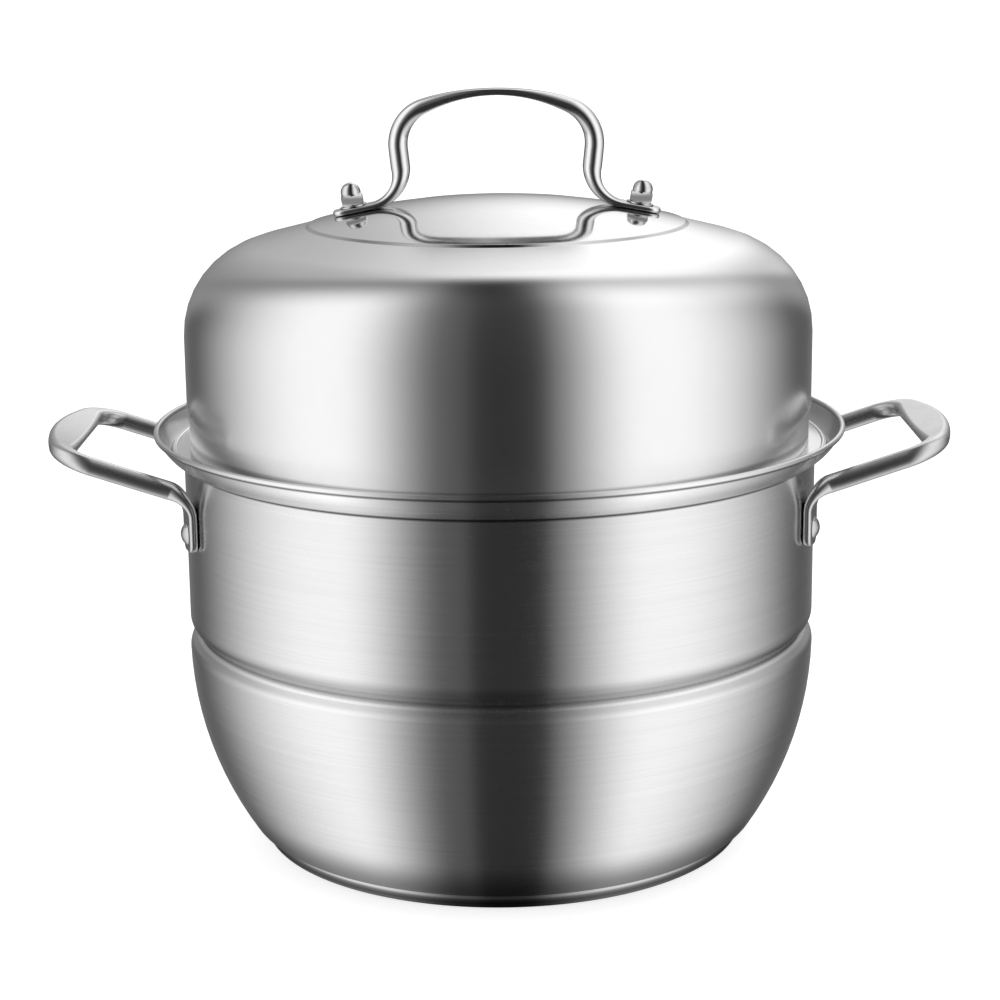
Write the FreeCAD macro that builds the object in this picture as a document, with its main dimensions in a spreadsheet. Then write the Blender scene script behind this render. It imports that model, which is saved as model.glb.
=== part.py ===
import FreeCAD, Part
import math
import os
import re
from collections import namedtuple

import Sketcher

# Steamer pot with a tall lid. Millimetres and degrees, +Z up, origin in the middle of the foot.

SIZES = {
    # Pot body, one drawn shell
    "mouth_radius": 150.0,
    "wall": 1.0,
    "bowl_bulge": 0.4,
    "bowl_curve": 163.0,
    "floor_round": 8.0,
    "waist_height": 105.5,
    "groove_depth": 5.0,
    "groove_angle": 43.0,
    "waist_round": 6.0,
    "tier_height": 83.7,
    "flare_curve": 21.5,
    "flare_angle": 20.5,
    "flare_rise": 12.8,
    "rim_bead": 1.35,
    # Sandwich base
    "base_radius": 118.0,
    "base_height": 7.0,
    "base_skin": 0.8,
    "base_round": 2.6,
    "braze_gap": 0.15,
    # Steam plates
    "plate_sheet": 0.8,
    "plate_bead": 1.2,
    "seat_gap": 0.3,
    "lower_plate_play": 3.4,
    "upper_plate_lap": 5.0,
    "steam_hole": 14.0,
    "hole_ring_step": 36.0,
    # Side handles, loops of flattened tube
    "handle_projection": 55.4,
    "handle_spread": 106.0,
    "handle_tilt": 18.3,
    "grip_drop": 2.9,
    "grip_bow": 7.5,
    "handle_corner": 17.0,
    "root_bend": 13.0,
    "strap_end": 8.4,
    "root_width": 15.0,
    "root_thick": 4.0,
    "root_tip": 9.0,
    "leg_width": 9.0,
    "leg_thick": 8.6,
    "grip_width": 17.2,
    "grip_thick": 4.6,
    "contact_gap": 0.05,
    # Handle rivets
    "rivet_drop": 8.1,
    "rivet_shank": 2.0,
    "rivet_head": 5.3,
    "rivet_dome": 2.6,
    "rivet_tail": 4.6,
    "rivet_tail_thick": 1.0,
    "shank_gap": 0.1,
    # Lid
    "lid_play": 1.1,
    "lid_sheet": 0.8,
    "neck_step": 1.0,
    "neck_height": 17.5,
    "lid_cone_angle": 14.4,
    "lid_shoulder": 44.0,
    "cap_radius": 90.4,
    "cap_edge": 102.3,
    "cap_step": 0.8,
    "cap_rise": 12.7,
    # Lid handle, an arch of flattened tube
    "arch_height": 49.1,
    "arch_curve": 93.0,
    "arch_half_span": 46.1,
    "arch_corner": 19.0,
    "lid_leg_lean": 6.0,
    "lid_foot_bend": 16.0,
    "lid_foot_end": 10.0,
    "arch_width": 13.8,
    "arch_thick": 3.0,
    "lid_leg_width": 9.6,
    "lid_leg_thick": 9.2,
    "lid_foot_width": 15.0,
    "lid_foot_thick": 2.6,
    "lid_foot_tip": 9.0,
    # Lid fasteners
    "lid_foot_reach": 20.9,
    "screw_shank": 2.9,
    "screw_head": 5.6,
    "screw_head_thick": 2.4,
    "screw_end_gap": 1.5,
    "washer_radius": 6.4,
    "washer_thick": 0.8,
    "nut_flats": 10.0,
    "nut_hex_height": 5.0,
    "nut_height": 10.6,
    "nut_crown": 2.8,
}

# Sizes that follow from the driving ones
FOLLOWS = {
    "wall_outside": "mouth_radius + wall",
    "bowl_radius": "wall_outside + bowl_bulge",
    "groove_radius": "wall_outside - groove_depth",
    "groove_upper": "waist_height + groove_depth / tan(groove_angle)",
    "shoulder_height": "waist_height - (bowl_radius - groove_radius) / tan(groove_angle)",
    "groove_miter": "wall * tan(groove_angle / 2)",
    "bowl_centre": "bowl_radius - bowl_curve",
    "floor_corner": "bowl_centre + sqrt(bowl_curve^2 - (shoulder_height - base_height)^2)",
    "floor_inside": "base_height + wall",
    "bowl_inside": "bowl_curve - wall",
    "floor_corner_inside": "bowl_centre + sqrt(bowl_inside^2 - (shoulder_height - floor_inside)^2)",
    "crease_height": "waist_height + tier_height",
    "rim_height": "crease_height + flare_rise",
    "flare_centre": "wall_outside - flare_curve * sin(flare_angle)",
    "flare_level": "crease_height + flare_curve * cos(flare_angle)",
    "flare_inside": "flare_curve - wall",
    "crease_inside": "flare_level - sqrt(flare_inside^2 - (mouth_radius - flare_centre)^2)",
    "rim_outside": "flare_centre + sqrt(flare_curve^2 - (flare_level - rim_height)^2)",
    "rim_angle": "asin((flare_level - rim_height) / flare_curve)",
    "lip_angle": "rim_angle + 2 * asin(rim_bead / 2 / flare_curve)",
    "lip_angle_inside": "rim_angle + acos((flare_curve^2 + flare_inside^2 - rim_bead^2)"
                        " / (2 * flare_curve * flare_inside))",
    "bead_notch": "sqrt(plate_bead^2 - (plate_sheet / 2)^2)",
    "lower_plate_radius": "mouth_radius - lower_plate_play",
    "lower_plate_level": "waist_height + (plate_bead + wall + seat_gap) / sin(groove_angle)"
                         " + (lower_plate_radius - groove_radius) / tan(groove_angle)",
    "upper_plate_radius": "mouth_radius + upper_plate_lap",
    "bead_clear": "flare_inside - plate_bead - seat_gap",
    "upper_plate_level": "flare_level - sqrt(bead_clear^2 - (upper_plate_radius - flare_centre)^2)",
    "lid_seat": "upper_plate_level + plate_sheet / 2",
    "handle_reach": "wall_outside + handle_projection",
    "grip_height": "rim_height - grip_drop",
    "root_radius": "wall_outside + contact_gap + root_thick / 2",
    "root_across": "sqrt(root_radius^2 - (handle_spread / 2)^2)",
    "strap_top": "grip_height - (handle_reach - root_across) * tan(handle_tilt)"
                 " - root_bend * tan((90 - handle_tilt) / 2)",
    "rivet_height": "strap_top - rivet_drop",
    "strap_foot": "rivet_height - strap_end",
    "rivet_azimuth": "asin(handle_spread / 2 / root_radius)",
    "root_outside": "root_radius + root_thick / 2 + contact_gap",
    "tail_face": "sqrt(mouth_radius^2 - rivet_tail^2) - contact_gap",
    "dome_curve": "(rivet_head^2 + rivet_dome^2) / (2 * rivet_dome)",
    "lid_radius": "mouth_radius - lid_play",
    "neck_radius": "lid_radius - neck_step",
    "neck_top": "lid_seat + neck_height",
    "neck_miter": "lid_sheet * tan(45 / 2)",
    "cap_level": "lid_seat + cap_edge",
    "shoulder_corner": "cap_level - (lid_radius - cap_radius) * tan(lid_cone_angle)",
    "cone_drop": "lid_sheet / cos(lid_cone_angle) - lid_sheet * tan(lid_cone_angle)",
    "cap_top": "cap_level + cap_rise",
    "cap_lift": "cap_rise - cap_step",
    "cap_curve": "(cap_radius^2 + cap_lift^2) / (2 * cap_lift)",
    "cap_curve_inside": "cap_curve - lid_sheet",
    "cap_inside": "cap_radius - lid_sheet",
    "cap_edge_inside": "cap_top - cap_curve + sqrt(cap_curve_inside^2 - cap_inside^2)",
    "bolt_radius": "arch_half_span + lid_foot_reach",
    "bolt_level": "cap_top - cap_curve + sqrt(cap_curve^2 - bolt_radius^2)",
    "bolt_tilt": "asin(bolt_radius / cap_curve)",
    "foot_top": "contact_gap + lid_foot_thick",
    "nut_washer_face": "foot_top + contact_gap",
    "nut_face": "nut_washer_face + washer_thick + contact_gap",
    "nut_bore_depth": "nut_height - nut_crown",
    "screw_reach": "nut_face + nut_bore_depth - screw_end_gap",
    "seal_face": "0 - lid_sheet - 2 * contact_gap",
    "head_face": "seal_face - washer_thick - contact_gap",
    "screw_hole": "screw_shank + shank_gap",
    "rivet_hole": "rivet_shank + shank_gap",
    "nut_corner": "nut_flats / 2 / cos(30)",
    "nut_dome": "nut_flats / 2 * 0.95",
}

HOLE_RINGS = 3
X_AXIS = FreeCAD.Vector(1, 0, 0)
Y_AXIS = FreeCAD.Vector(0, 1, 0)
Z_AXIS = FreeCAD.Vector(0, 0, 1)
HALF_TURN = FreeCAD.Placement(FreeCAD.Vector(), FreeCAD.Rotation(Z_AXIS, 180))

doc = FreeCAD.newDocument("SteamerPot")
sheet = doc.addObject("Spreadsheet::Sheet", "Sizes")
for row, (alias, number) in enumerate(SIZES.items(), start=1):
    sheet.set("A%d" % row, alias)
    sheet.set("B%d" % row, str(number))
    sheet.setAlias("B%d" % row, alias)
doc.recompute()

Corner = namedtuple("Corner", "across up round bend", defaults=(None, None))
Station = namedtuple("Station", "centre heading depth width thick")


def expression(formula):
    """Expand a formula in size names into one that reads the sheet."""
    def expand(match):
        name = match.group()
        if name in SIZES:
            return "Sizes." + name
        if name in FOLLOWS:
            return "(" + expression(FOLLOWS[name]) + ")"
        return name
    return re.sub(r"[a-z_]+", expand, formula)


def value(formula):
    return float(sheet.evalExpression(expression(formula)))


def vector(across, up=0.0):
    return FreeCAD.Vector(across, up, 0)


def new_body(label):
    return doc.addObject("PartDesign::Body", label)


def new_sketch(body, name, role, offset=FreeCAD.Placement()):
    """Sketch on one of the body's own origin planes, shifted by an offset."""
    sketch = body.newObject("Sketcher::SketchObject", name)
    plane = next(item for item in body.Origin.OriginFeatures if item.Role == role)
    sketch.AttachmentSupport = [(plane, "")]
    sketch.MapMode = "FlatFace"
    sketch.AttachmentOffset = offset
    return sketch


def constrain(sketch, *parts):
    return sketch.addConstraint(Sketcher.Constraint(*parts))


def bind(sketch, formula, *parts):
    """Add a dimension whose value is bound to the sheet."""
    index = constrain(sketch, *parts, value(formula))
    sketch.setExpression("Constraints[%d]" % index, expression(formula))


def fix_point(sketch, geometry, end, across, up):
    """Hold a point at a place given by two formulas."""
    for kind, axis, formula in (("DistanceX", -2, across), ("DistanceY", -1, up)):
        if formula == "0":
            constrain(sketch, "PointOnObject", geometry, end, axis)
        else:
            bind(sketch, formula, kind, -1, 1, geometry, end)


def arc_through(start, end, bend):
    """Arc between two points that bulges left of travel for a positive bend radius."""
    chord = end - start
    left = vector(-chord.y, chord.x).normalize()
    sagitta = abs(bend) - math.sqrt(bend ** 2 - (chord.Length / 2) ** 2)
    return Part.Arc(start, (start + end) / 2 + left * math.copysign(sagitta, bend), end)


def add_edge(sketch, shape, start):
    """Add an edge and say which of its ends is the first along the outline."""
    index = sketch.addGeometry(shape)
    turned = (sketch.getPoint(index, 1) - start).Length > (sketch.getPoint(index, 2) - start).Length
    return (index, 2, 1) if turned else (index, 1, 2)


def headings(start, end, bend):
    """Directions of travel at both ends of a straight or bent edge."""
    chord = end - start
    angle = math.atan2(chord.y, chord.x)
    half = math.asin(chord.Length / 2 / bend) if bend else 0.0
    return angle + half, angle - half


def draw_outline(sketch, corners):
    """Closed outline through the corners, with bent edges and rounded corners, all bound to the sheet."""
    points = [vector(value(corner.across), value(corner.up)) for corner in corners]
    bends = [value(corner.bend) if corner.bend else None for corner in corners]
    rounds = [value(corner.round) if corner.round else 0.0 for corner in corners]
    count = len(corners)
    ways = [headings(points[i], points[(i + 1) % count], bends[i]) for i in range(count)]
    turns = [math.remainder(ways[i][0] - ways[i - 1][1], 2 * math.pi) for i in range(count)]
    setback = [rounds[i] * math.tan(abs(turns[i]) / 2) for i in range(count)]
    leaving = [points[i] + vector(math.cos(ways[i][0]), math.sin(ways[i][0])) * setback[i] for i in range(count)]
    meeting = [points[i] - vector(math.cos(ways[i - 1][1]), math.sin(ways[i - 1][1])) * setback[i]
               for i in range(count)]
    edges = []
    for i in range(count):
        start, end = leaving[i], meeting[(i + 1) % count]
        shape = arc_through(start, end, bends[i]) if bends[i] else Part.LineSegment(start, end)
        edges.append(add_edge(sketch, shape, start))
        if bends[i]:
            bind(sketch, "abs(%s)" % corners[i].bend, "Radius", edges[i][0])
    for i, corner in enumerate(corners):
        before, after = edges[i - 1], edges[i]
        if not corner.round:
            constrain(sketch, "Coincident", before[0], before[2], after[0], after[1])
            fix_point(sketch, after[0], after[1], corner.across, corner.up)
            continue
        tip = sketch.addGeometry(Part.Point(points[i]), True)
        fix_point(sketch, tip, 1, corner.across, corner.up)
        constrain(sketch, "PointOnObject", tip, 1, before[0])
        constrain(sketch, "PointOnObject", tip, 1, after[0])
        bend = -math.copysign(rounds[i], turns[i])
        curve = add_edge(sketch, arc_through(meeting[i], leaving[i], bend), meeting[i])
        constrain(sketch, "Tangent", before[0], before[2], curve[0], curve[1])
        constrain(sketch, "Tangent", curve[0], curve[2], after[0], after[1])
        bind(sketch, corner.round, "Radius", curve[0])


def draw_circle(sketch, across, up, radius):
    circle = sketch.addGeometry(Part.Circle(vector(value(across), value(up)), Z_AXIS, value(radius)))
    fix_point(sketch, circle, 3, across, up)
    bind(sketch, radius, "Radius", circle)


def spin(body, name, sketch, axis="V_Axis", kind="Revolution"):
    """Turn a sketch a full circle, as added or removed material."""
    feature = body.newObject("PartDesign::" + kind, name)
    feature.Profile = sketch
    feature.ReferenceAxis = (sketch, [axis])
    feature.Angle = 360
    return feature


def spin_outline(body, name, corners, axis="V_Axis", kind="Revolution"):
    sketch = new_sketch(body, name + "_outline", "XZ_Plane")
    draw_outline(sketch, corners)
    return spin(body, name, sketch, axis, kind)


def pierce(body, name, role, offset, across, up, radius):
    """Round hole right through on both sides of the sketch plane."""
    sketch = new_sketch(body, name + "_circle", role, offset)
    draw_circle(sketch, across, up, radius)
    feature = body.newObject("PartDesign::Pocket", name)
    feature.Profile = sketch
    feature.SideType = "Symmetric"
    feature.Type = "ThroughAll"
    return feature


def ring_of(body, feature, count):
    """Repeat a hole around the upright axis."""
    ring = body.newObject("PartDesign::PolarPattern", feature.Name + "_ring")
    ring.Originals = [feature]
    ring.Axis = (feature.Profile[0], ["N_Axis"])
    ring.Angle = 360
    ring.Occurrences = count
    body.Tip = ring
    return ring


def turned(axis, angle, base=FreeCAD.Vector()):
    return FreeCAD.Placement(base, FreeCAD.Rotation(axis, angle))


def pot_body():
    """Drawn shell: bowl, rolled-in waist, upright wall, curved flare and rolled rim."""
    body = new_body("pot_body")
    spin_outline(body, "pot_shell", [
        Corner("0", "base_height"),
        Corner("floor_corner", "base_height", "floor_round", "0 - bowl_curve"),
        Corner("bowl_radius", "shoulder_height", "waist_round"),
        Corner("groove_radius", "waist_height"),
        Corner("wall_outside", "groove_upper", "waist_round"),
        Corner("wall_outside", "crease_height", None, "0 - flare_curve"),
        Corner("flare_centre + flare_curve * cos(lip_angle)", "flare_level - flare_curve * sin(lip_angle)",
               None, "0 - rim_bead"),
        Corner("rim_outside + rim_bead", "rim_height", None, "0 - rim_bead"),
        Corner("rim_outside", "rim_height + rim_bead", None, "0 - rim_bead"),
        Corner("flare_centre + flare_inside * cos(lip_angle_inside)",
               "flare_level - flare_inside * sin(lip_angle_inside)", None, "flare_inside"),
        Corner("mouth_radius", "crease_inside"),
        Corner("mouth_radius", "groove_upper + groove_miter", "waist_round - wall"),
        Corner("groove_radius - wall / cos(groove_angle)", "waist_height"),
        Corner("bowl_radius - wall", "shoulder_height - groove_miter", "waist_round - wall", "bowl_inside"),
        Corner("floor_corner_inside", "floor_inside", "floor_round - wall"),
        Corner("0", "floor_inside"),
    ])
    for side, sign in (("rear", 1), ("front", -1)):
        offset = turned(Y_AXIS, sign * value("rivet_azimuth"))
        pierce(body, side + "_rivet_holes", "YZ_Plane", offset, "0", "rivet_height", "rivet_hole")
    return body


def base_cap():
    """Stainless cap that wraps the base disc from below."""
    body = new_body("base_cap")
    spin_outline(body, "cap_bowl", [
        Corner("0", "0"),
        Corner("base_radius", "0", "base_round"),
        Corner("base_radius", "base_height"),
        Corner("base_radius - base_skin", "base_height"),
        Corner("base_radius - base_skin", "base_skin", "base_round - base_skin"),
        Corner("0", "base_skin"),
    ])
    return body


def base_core():
    """Aluminium disc that spreads the heat, brazed between the pot and the cap."""
    body = new_body("base_core")
    spin_outline(body, "core_disc", [
        Corner("0", "base_skin"),
        Corner("base_radius - base_skin - braze_gap", "base_skin", "base_round - base_skin"),
        Corner("base_radius - base_skin - braze_gap", "base_height"),
        Corner("0", "base_height"),
    ])
    return body


def perforate(body):
    """Rings of steam holes around a middle hole."""
    upright = FreeCAD.Placement()
    pierce(body, body.Name + "_middle_hole", "XY_Plane", upright, "0", "0", "steam_hole / 2")
    for ring in range(1, HOLE_RINGS + 1):
        hole = pierce(body, "%s_hole_%d" % (body.Name, ring), "XY_Plane", upright,
                      "hole_ring_step * %d" % ring, "0", "steam_hole / 2")
        ring_of(body, hole, 6 * ring)


def steam_plate(label, radius, level):
    """Flat perforated plate with a rolled edge to rest on."""
    body = new_body(label)
    under = level + " - plate_sheet / 2"
    over = level + " + plate_sheet / 2"
    spin_outline(body, label + "_disc", [
        Corner("0", under),
        Corner(radius + " - bead_notch", under, None, "0 - plate_bead"),
        Corner(radius + " + plate_bead", level, None, "0 - plate_bead"),
        Corner(radius + " - bead_notch", over),
        Corner("0", over),
    ])
    perforate(body)
    return body


def draw_flat_oval(sketch, width, thick):
    """Section of flattened tube: two straight sides joined by half rounds."""
    half = (value(width) - value(thick)) / 2
    radius = value(thick) / 2
    left, right = vector(-half, 0), vector(half, 0)
    rise = vector(0, radius)
    top = add_edge(sketch, Part.LineSegment(left + rise, right + rise), left + rise)
    right_end = add_edge(sketch, Part.Arc(right + rise, right + vector(radius), right - rise), right + rise)
    bottom = add_edge(sketch, Part.LineSegment(right - rise, left - rise), right - rise)
    left_end = add_edge(sketch, Part.Arc(left - rise, left - vector(radius), left + rise), left - rise)
    loop = (top, right_end, bottom, left_end)
    for before, after in zip(loop, loop[1:] + loop[:1]):
        constrain(sketch, "Tangent", before[0], before[2], after[0], after[1])
    constrain(sketch, "Horizontal", top[0])
    constrain(sketch, "Symmetric", left_end[0], 3, right_end[0], 3, -1, 1)
    bind(sketch, "(%s) / 2" % thick, "Radius", right_end[0])
    bind(sketch, "(%s) - (%s)" % (width, thick), "DistanceX", left_end[0], 3, right_end[0], 3)


def loft_tube(body, name, stations):
    """Tube that changes from one flattened section to the next along its path."""
    sections = []
    for number, station in enumerate(stations):
        across = station.depth.cross(station.heading)
        facing = FreeCAD.Rotation(across, station.depth, station.heading, "ZYX")
        place = FreeCAD.Placement(station.centre, facing)
        sketch = new_sketch(body, "%s_section_%d" % (name, number), "XY_Plane", place)
        draw_flat_oval(sketch, station.width, station.thick)
        sections.append(sketch)
    feature = body.newObject("PartDesign::AdditiveLoft", name)
    feature.Profile = sections[0]
    feature.Sections = sections[1:]
    return feature


def mirror_all(body, name, features, role):
    """Repeat features on the other side of one of the body's origin planes."""
    plane = next(item for item in body.Origin.OriginFeatures if item.Role == role)
    mirrored = body.newObject("PartDesign::Mirrored", name)
    mirrored.Originals = features
    mirrored.MirrorPlane = (plane, [""])
    body.Tip = mirrored
    return mirrored


def between(first, last, share):
    """Formula for a size part of the way from one to another."""
    return "%s + (%s - %s) * %.4f" % (first, last, first, share)


def side_handle_runs():
    """Runs of tube in half a side handle: strap tip, strap, bend, leg, corner and bowed grip."""
    tilt = math.radians(value("handle_tilt"))
    twist = value("rivet_azimuth")
    half = value("handle_spread / 2")
    corner = value("handle_corner")
    bend = value("root_bend")
    foot = value("strap_foot")
    outward = FreeCAD.Vector(math.cos(tilt), 0, math.sin(tilt))
    above = FreeCAD.Vector(-math.sin(tilt), 0, math.cos(tilt))
    grip = FreeCAD.Vector(value("handle_reach"), 0, value("grip_height"))
    root_x = value("root_across")
    upright_end = value("strap_top")
    bow = math.radians(value("grip_bow"))
    grip_curve = corner + (half - corner) / math.sin(bow)
    grip_centre = grip - outward * grip_curve
    bow_end = outward * math.cos(bow) + Y_AXIS * math.sin(bow)
    corner_centre = grip_centre + bow_end * (grip_curve - corner)
    corner_run = corner * (math.pi / 2 - bow)
    grip_run = grip_curve * bow
    whole_run = corner_run + grip_run

    def strap(height, width):
        facing = FreeCAD.Rotation(Z_AXIS, twist)
        return Station(FreeCAD.Vector(root_x, half, height), Z_AXIS, facing.multVec(-X_AXIS), width, "root_thick")

    def bent(share):
        angle = share * (math.pi / 2 - tilt)
        # The tube thickens and turns off the wall slowly at first, so that it stays clear of the wall.
        ease = share ** 2
        facing = FreeCAD.Rotation(Z_AXIS, twist * (1 - ease))
        centre = FreeCAD.Vector(root_x + bend * (1 - math.cos(angle)), half, upright_end + bend * math.sin(angle))
        heading = facing.multVec(FreeCAD.Vector(math.sin(angle), 0, math.cos(angle)))
        depth = facing.multVec(FreeCAD.Vector(-math.cos(angle), 0, math.sin(angle)))
        return Station(centre, heading, depth, between("root_width", "leg_width", ease),
                       between("root_thick", "leg_thick", ease))

    def rounded(centre, radius, angle, run):
        heading = outward * math.cos(angle) - Y_AXIS * math.sin(angle)
        arm = outward * math.sin(angle) + Y_AXIS * math.cos(angle)
        # The tube flattens at an even rate that grows in the corner and falls along the grip.
        if run < corner_run:
            flat = run ** 2 / (corner_run * whole_run)
        else:
            flat = 1 - (whole_run - run) ** 2 / (grip_run * whole_run)
        return Station(centre + arm * radius, heading, above, between("leg_width", "grip_width", flat),
                       between("leg_thick", "grip_thick", flat))

    def cornered(share):
        return rounded(corner_centre, corner, share * (math.pi / 2 - bow), share * corner_run)

    def bowed(share):
        return rounded(grip_centre, grip_curve, math.pi / 2 - bow * (1 - share), corner_run + share * grip_run)

    full_width = strap(foot + value("root_thick"), "root_width")
    return {
        "tip": [strap(foot, "root_tip"), full_width],
        "strap": [full_width, strap(upright_end, "root_width")],
        "bend": [bent(share / 4) for share in range(5)],
        "leg": [bent(1), cornered(0)],
        "corner": [cornered(share / 4) for share in range(5)],
        "grip": [bowed(share / 4) for share in range(5)],
    }


def side_handle(label, place):
    """Loop handle of flattened tube with a rivet hole in each strap."""
    body = new_body(label)
    runs = [loft_tube(body, "%s_%s" % (label, run), stations) for run, stations in side_handle_runs().items()]
    mirror_all(body, label + "_front_half", runs, "XZ_Plane")
    for side, sign in (("rear", 1), ("front", -1)):
        offset = turned(Y_AXIS, sign * value("rivet_azimuth"))
        pierce(body, "%s_%s_hole" % (label, side), "YZ_Plane", offset, "0", "rivet_height", "rivet_hole")
    body.Placement = place
    return body


def rivet(label, azimuth):
    """Rivet through a handle root and the pot wall: domed outside, flat inside."""
    body = new_body(label)
    spin_outline(body, label + "_turned", [
        Corner("tail_face - rivet_tail_thick", "0"),
        Corner("tail_face - rivet_tail_thick", "rivet_tail"),
        Corner("tail_face", "rivet_tail"),
        Corner("tail_face", "rivet_shank"),
        Corner("root_outside", "rivet_shank"),
        Corner("root_outside", "rivet_head", None, "dome_curve"),
        Corner("root_outside + rivet_dome", "0"),
    ], axis="H_Axis")
    body.Placement = turned(Z_AXIS, azimuth, FreeCAD.Vector(0, 0, value("rivet_height")))
    return body


def lid_shell():
    """Tall lid: neck, upright wall, round shoulder, cone and raised domed cap."""
    body = new_body("lid_shell")
    spin_outline(body, "lid_sheet", [
        Corner("neck_radius", "lid_seat"),
        Corner("neck_radius", "neck_top - neck_step"),
        Corner("lid_radius", "neck_top"),
        Corner("lid_radius", "shoulder_corner", "lid_shoulder"),
        Corner("cap_radius", "cap_level"),
        Corner("cap_radius", "cap_level + cap_step", None, "0 - cap_curve"),
        Corner("0", "cap_top"),
        Corner("0", "cap_top - lid_sheet", None, "cap_curve_inside"),
        Corner("cap_inside", "cap_edge_inside"),
        Corner("cap_inside", "cap_level - cone_drop"),
        Corner("lid_radius - lid_sheet", "shoulder_corner - cone_drop", "lid_shoulder - lid_sheet"),
        Corner("lid_radius - lid_sheet", "neck_top + neck_miter"),
        Corner("neck_radius - lid_sheet", "neck_top - neck_step + neck_miter"),
        Corner("neck_radius - lid_sheet", "lid_seat"),
    ])
    for side, place in BOLTS.items():
        pierce(body, side + "_lid_hole", "XY_Plane", place, "0", "0", "screw_hole")
    return body


def lid_handle_runs():
    """Runs of tube in the lid handle: those of the right half, and the arch over the middle."""
    lean = math.radians(value("lid_leg_lean"))
    tilt = math.radians(value("bolt_tilt"))
    arch, corner, bend = value("arch_curve"), value("arch_corner"), value("lid_foot_bend")
    arch_centre = FreeCAD.Vector(0, 0, value("cap_top + arch_height - arch_curve"))
    across = value("arch_half_span - arch_corner")
    corner_centre = arch_centre + FreeCAD.Vector(across, 0, math.sqrt((arch - corner) ** 2 - across ** 2))
    leg_side = FreeCAD.Vector(math.cos(lean), 0, -math.sin(lean))
    above = FreeCAD.Vector(math.sin(tilt), 0, math.cos(tilt))
    along = FreeCAD.Vector(math.cos(tilt), 0, -math.sin(tilt))
    bolt = FreeCAD.Vector(value("bolt_radius"), 0, value("bolt_level"))
    bolt += above * value("contact_gap + lid_foot_thick / 2")
    # The foot bend touches the leg line and the foot line, so its centre is one bend radius from both.
    leg_level = leg_side.dot(corner_centre) + corner + bend
    foot_level = above.dot(bolt) + bend
    spread = leg_side.x * above.z - leg_side.z * above.x
    bend_centre = FreeCAD.Vector((leg_level * above.z - foot_level * leg_side.z) / spread, 0,
                                 (foot_level * leg_side.x - leg_level * above.x) / spread)
    corner_end = math.atan2(corner_centre.z - arch_centre.z, corner_centre.x)
    bend_start = 1.5 * math.pi - tilt
    bend_end = math.pi - lean

    def ride(centre, width, thick, heading):
        return Station(centre, heading, FreeCAD.Vector(heading.z, 0, -heading.x), width, thick)

    def foot(distance, width):
        return ride(bolt + along * distance, width, "lid_foot_thick", -along)

    def bent(share):
        angle = bend_start + (bend_end - bend_start) * share
        arm = FreeCAD.Vector(math.cos(angle), 0, math.sin(angle))
        return ride(bend_centre + arm * bend, between("lid_foot_width", "lid_leg_width", share),
                    between("lid_foot_thick", "lid_leg_thick", share), FreeCAD.Vector(arm.z, 0, -arm.x))

    def over(centre, radius, angle, flat):
        arm = FreeCAD.Vector(math.cos(angle), 0, math.sin(angle))
        return ride(centre + arm * radius, between("lid_leg_width", "arch_width", flat),
                    between("lid_leg_thick", "arch_thick", flat), FreeCAD.Vector(-arm.z, 0, arm.x))

    full_width = foot(value("lid_foot_end - lid_foot_thick"), "lid_foot_width")
    leg_top = over(corner_centre, corner, -lean, 0)
    right = {
        "leg": [leg_top, bent(1)],
        "bend": [bent(share / 4) for share in range(5)],
        "foot": [full_width, bent(0)],
        "tip": [foot(value("lid_foot_end"), "lid_foot_tip"), full_width],
    }
    half_arch = [
        leg_top,
        over(corner_centre, corner, (corner_end - lean) / 2, 0.05),
        over(corner_centre, corner, corner_end, 0.35),
        over(arch_centre, arch, (corner_end * 2 + math.pi / 2) / 3, 0.8),
    ]
    left_half = [over_left(station) for station in reversed(half_arch)]
    return right, half_arch + [over(arch_centre, arch, math.pi / 2, 1)] + left_half


def over_left(station):
    """Station of the lid handle mirrored to the left half and facing on along the path."""
    def reflect(way):
        return FreeCAD.Vector(-way.x, way.y, way.z)
    return station._replace(centre=reflect(station.centre), heading=-reflect(station.heading),
                            depth=reflect(station.depth))


def lid_handle():
    """Arch handle of flattened tube with a bolt hole in each foot."""
    body = new_body("lid_handle")
    right, arch = lid_handle_runs()
    loft_tube(body, "lid_arch", arch)
    runs = [loft_tube(body, "lid_" + run, stations) for run, stations in right.items()]
    mirror_all(body, "lid_left_half", runs, "YZ_Plane")
    for side, place in BOLTS.items():
        hole = pierce(body, side + "_foot_hole", "XY_Plane", place, "0", "0", "screw_hole")
        hole.Type = "Length"
        hole.setExpression("Length", expression("foot_top * 4"))
    return body


def lid_screw(label, place):
    """Screw from inside the lid: a low head and a plain shank up into the cap nut."""
    body = new_body(label)
    spin_outline(body, label + "_turned", [
        Corner("0", "head_face - screw_head_thick"),
        Corner("screw_head", "head_face - screw_head_thick", "screw_head_thick / 2"),
        Corner("screw_head", "head_face"),
        Corner("screw_shank", "head_face"),
        Corner("screw_shank", "screw_reach"),
        Corner("0", "screw_reach"),
    ])
    body.Placement = place
    return body


def washer(label, place, face):
    """Flat ring round the screw, standing on or hanging from a face."""
    body = new_body(label)
    spin_outline(body, label + "_ring", [
        Corner("screw_hole", face),
        Corner("washer_radius", face),
        Corner("washer_radius", face + " + washer_thick"),
        Corner("screw_hole", face + " + washer_thick"),
    ])
    body.Placement = place
    return body


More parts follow.
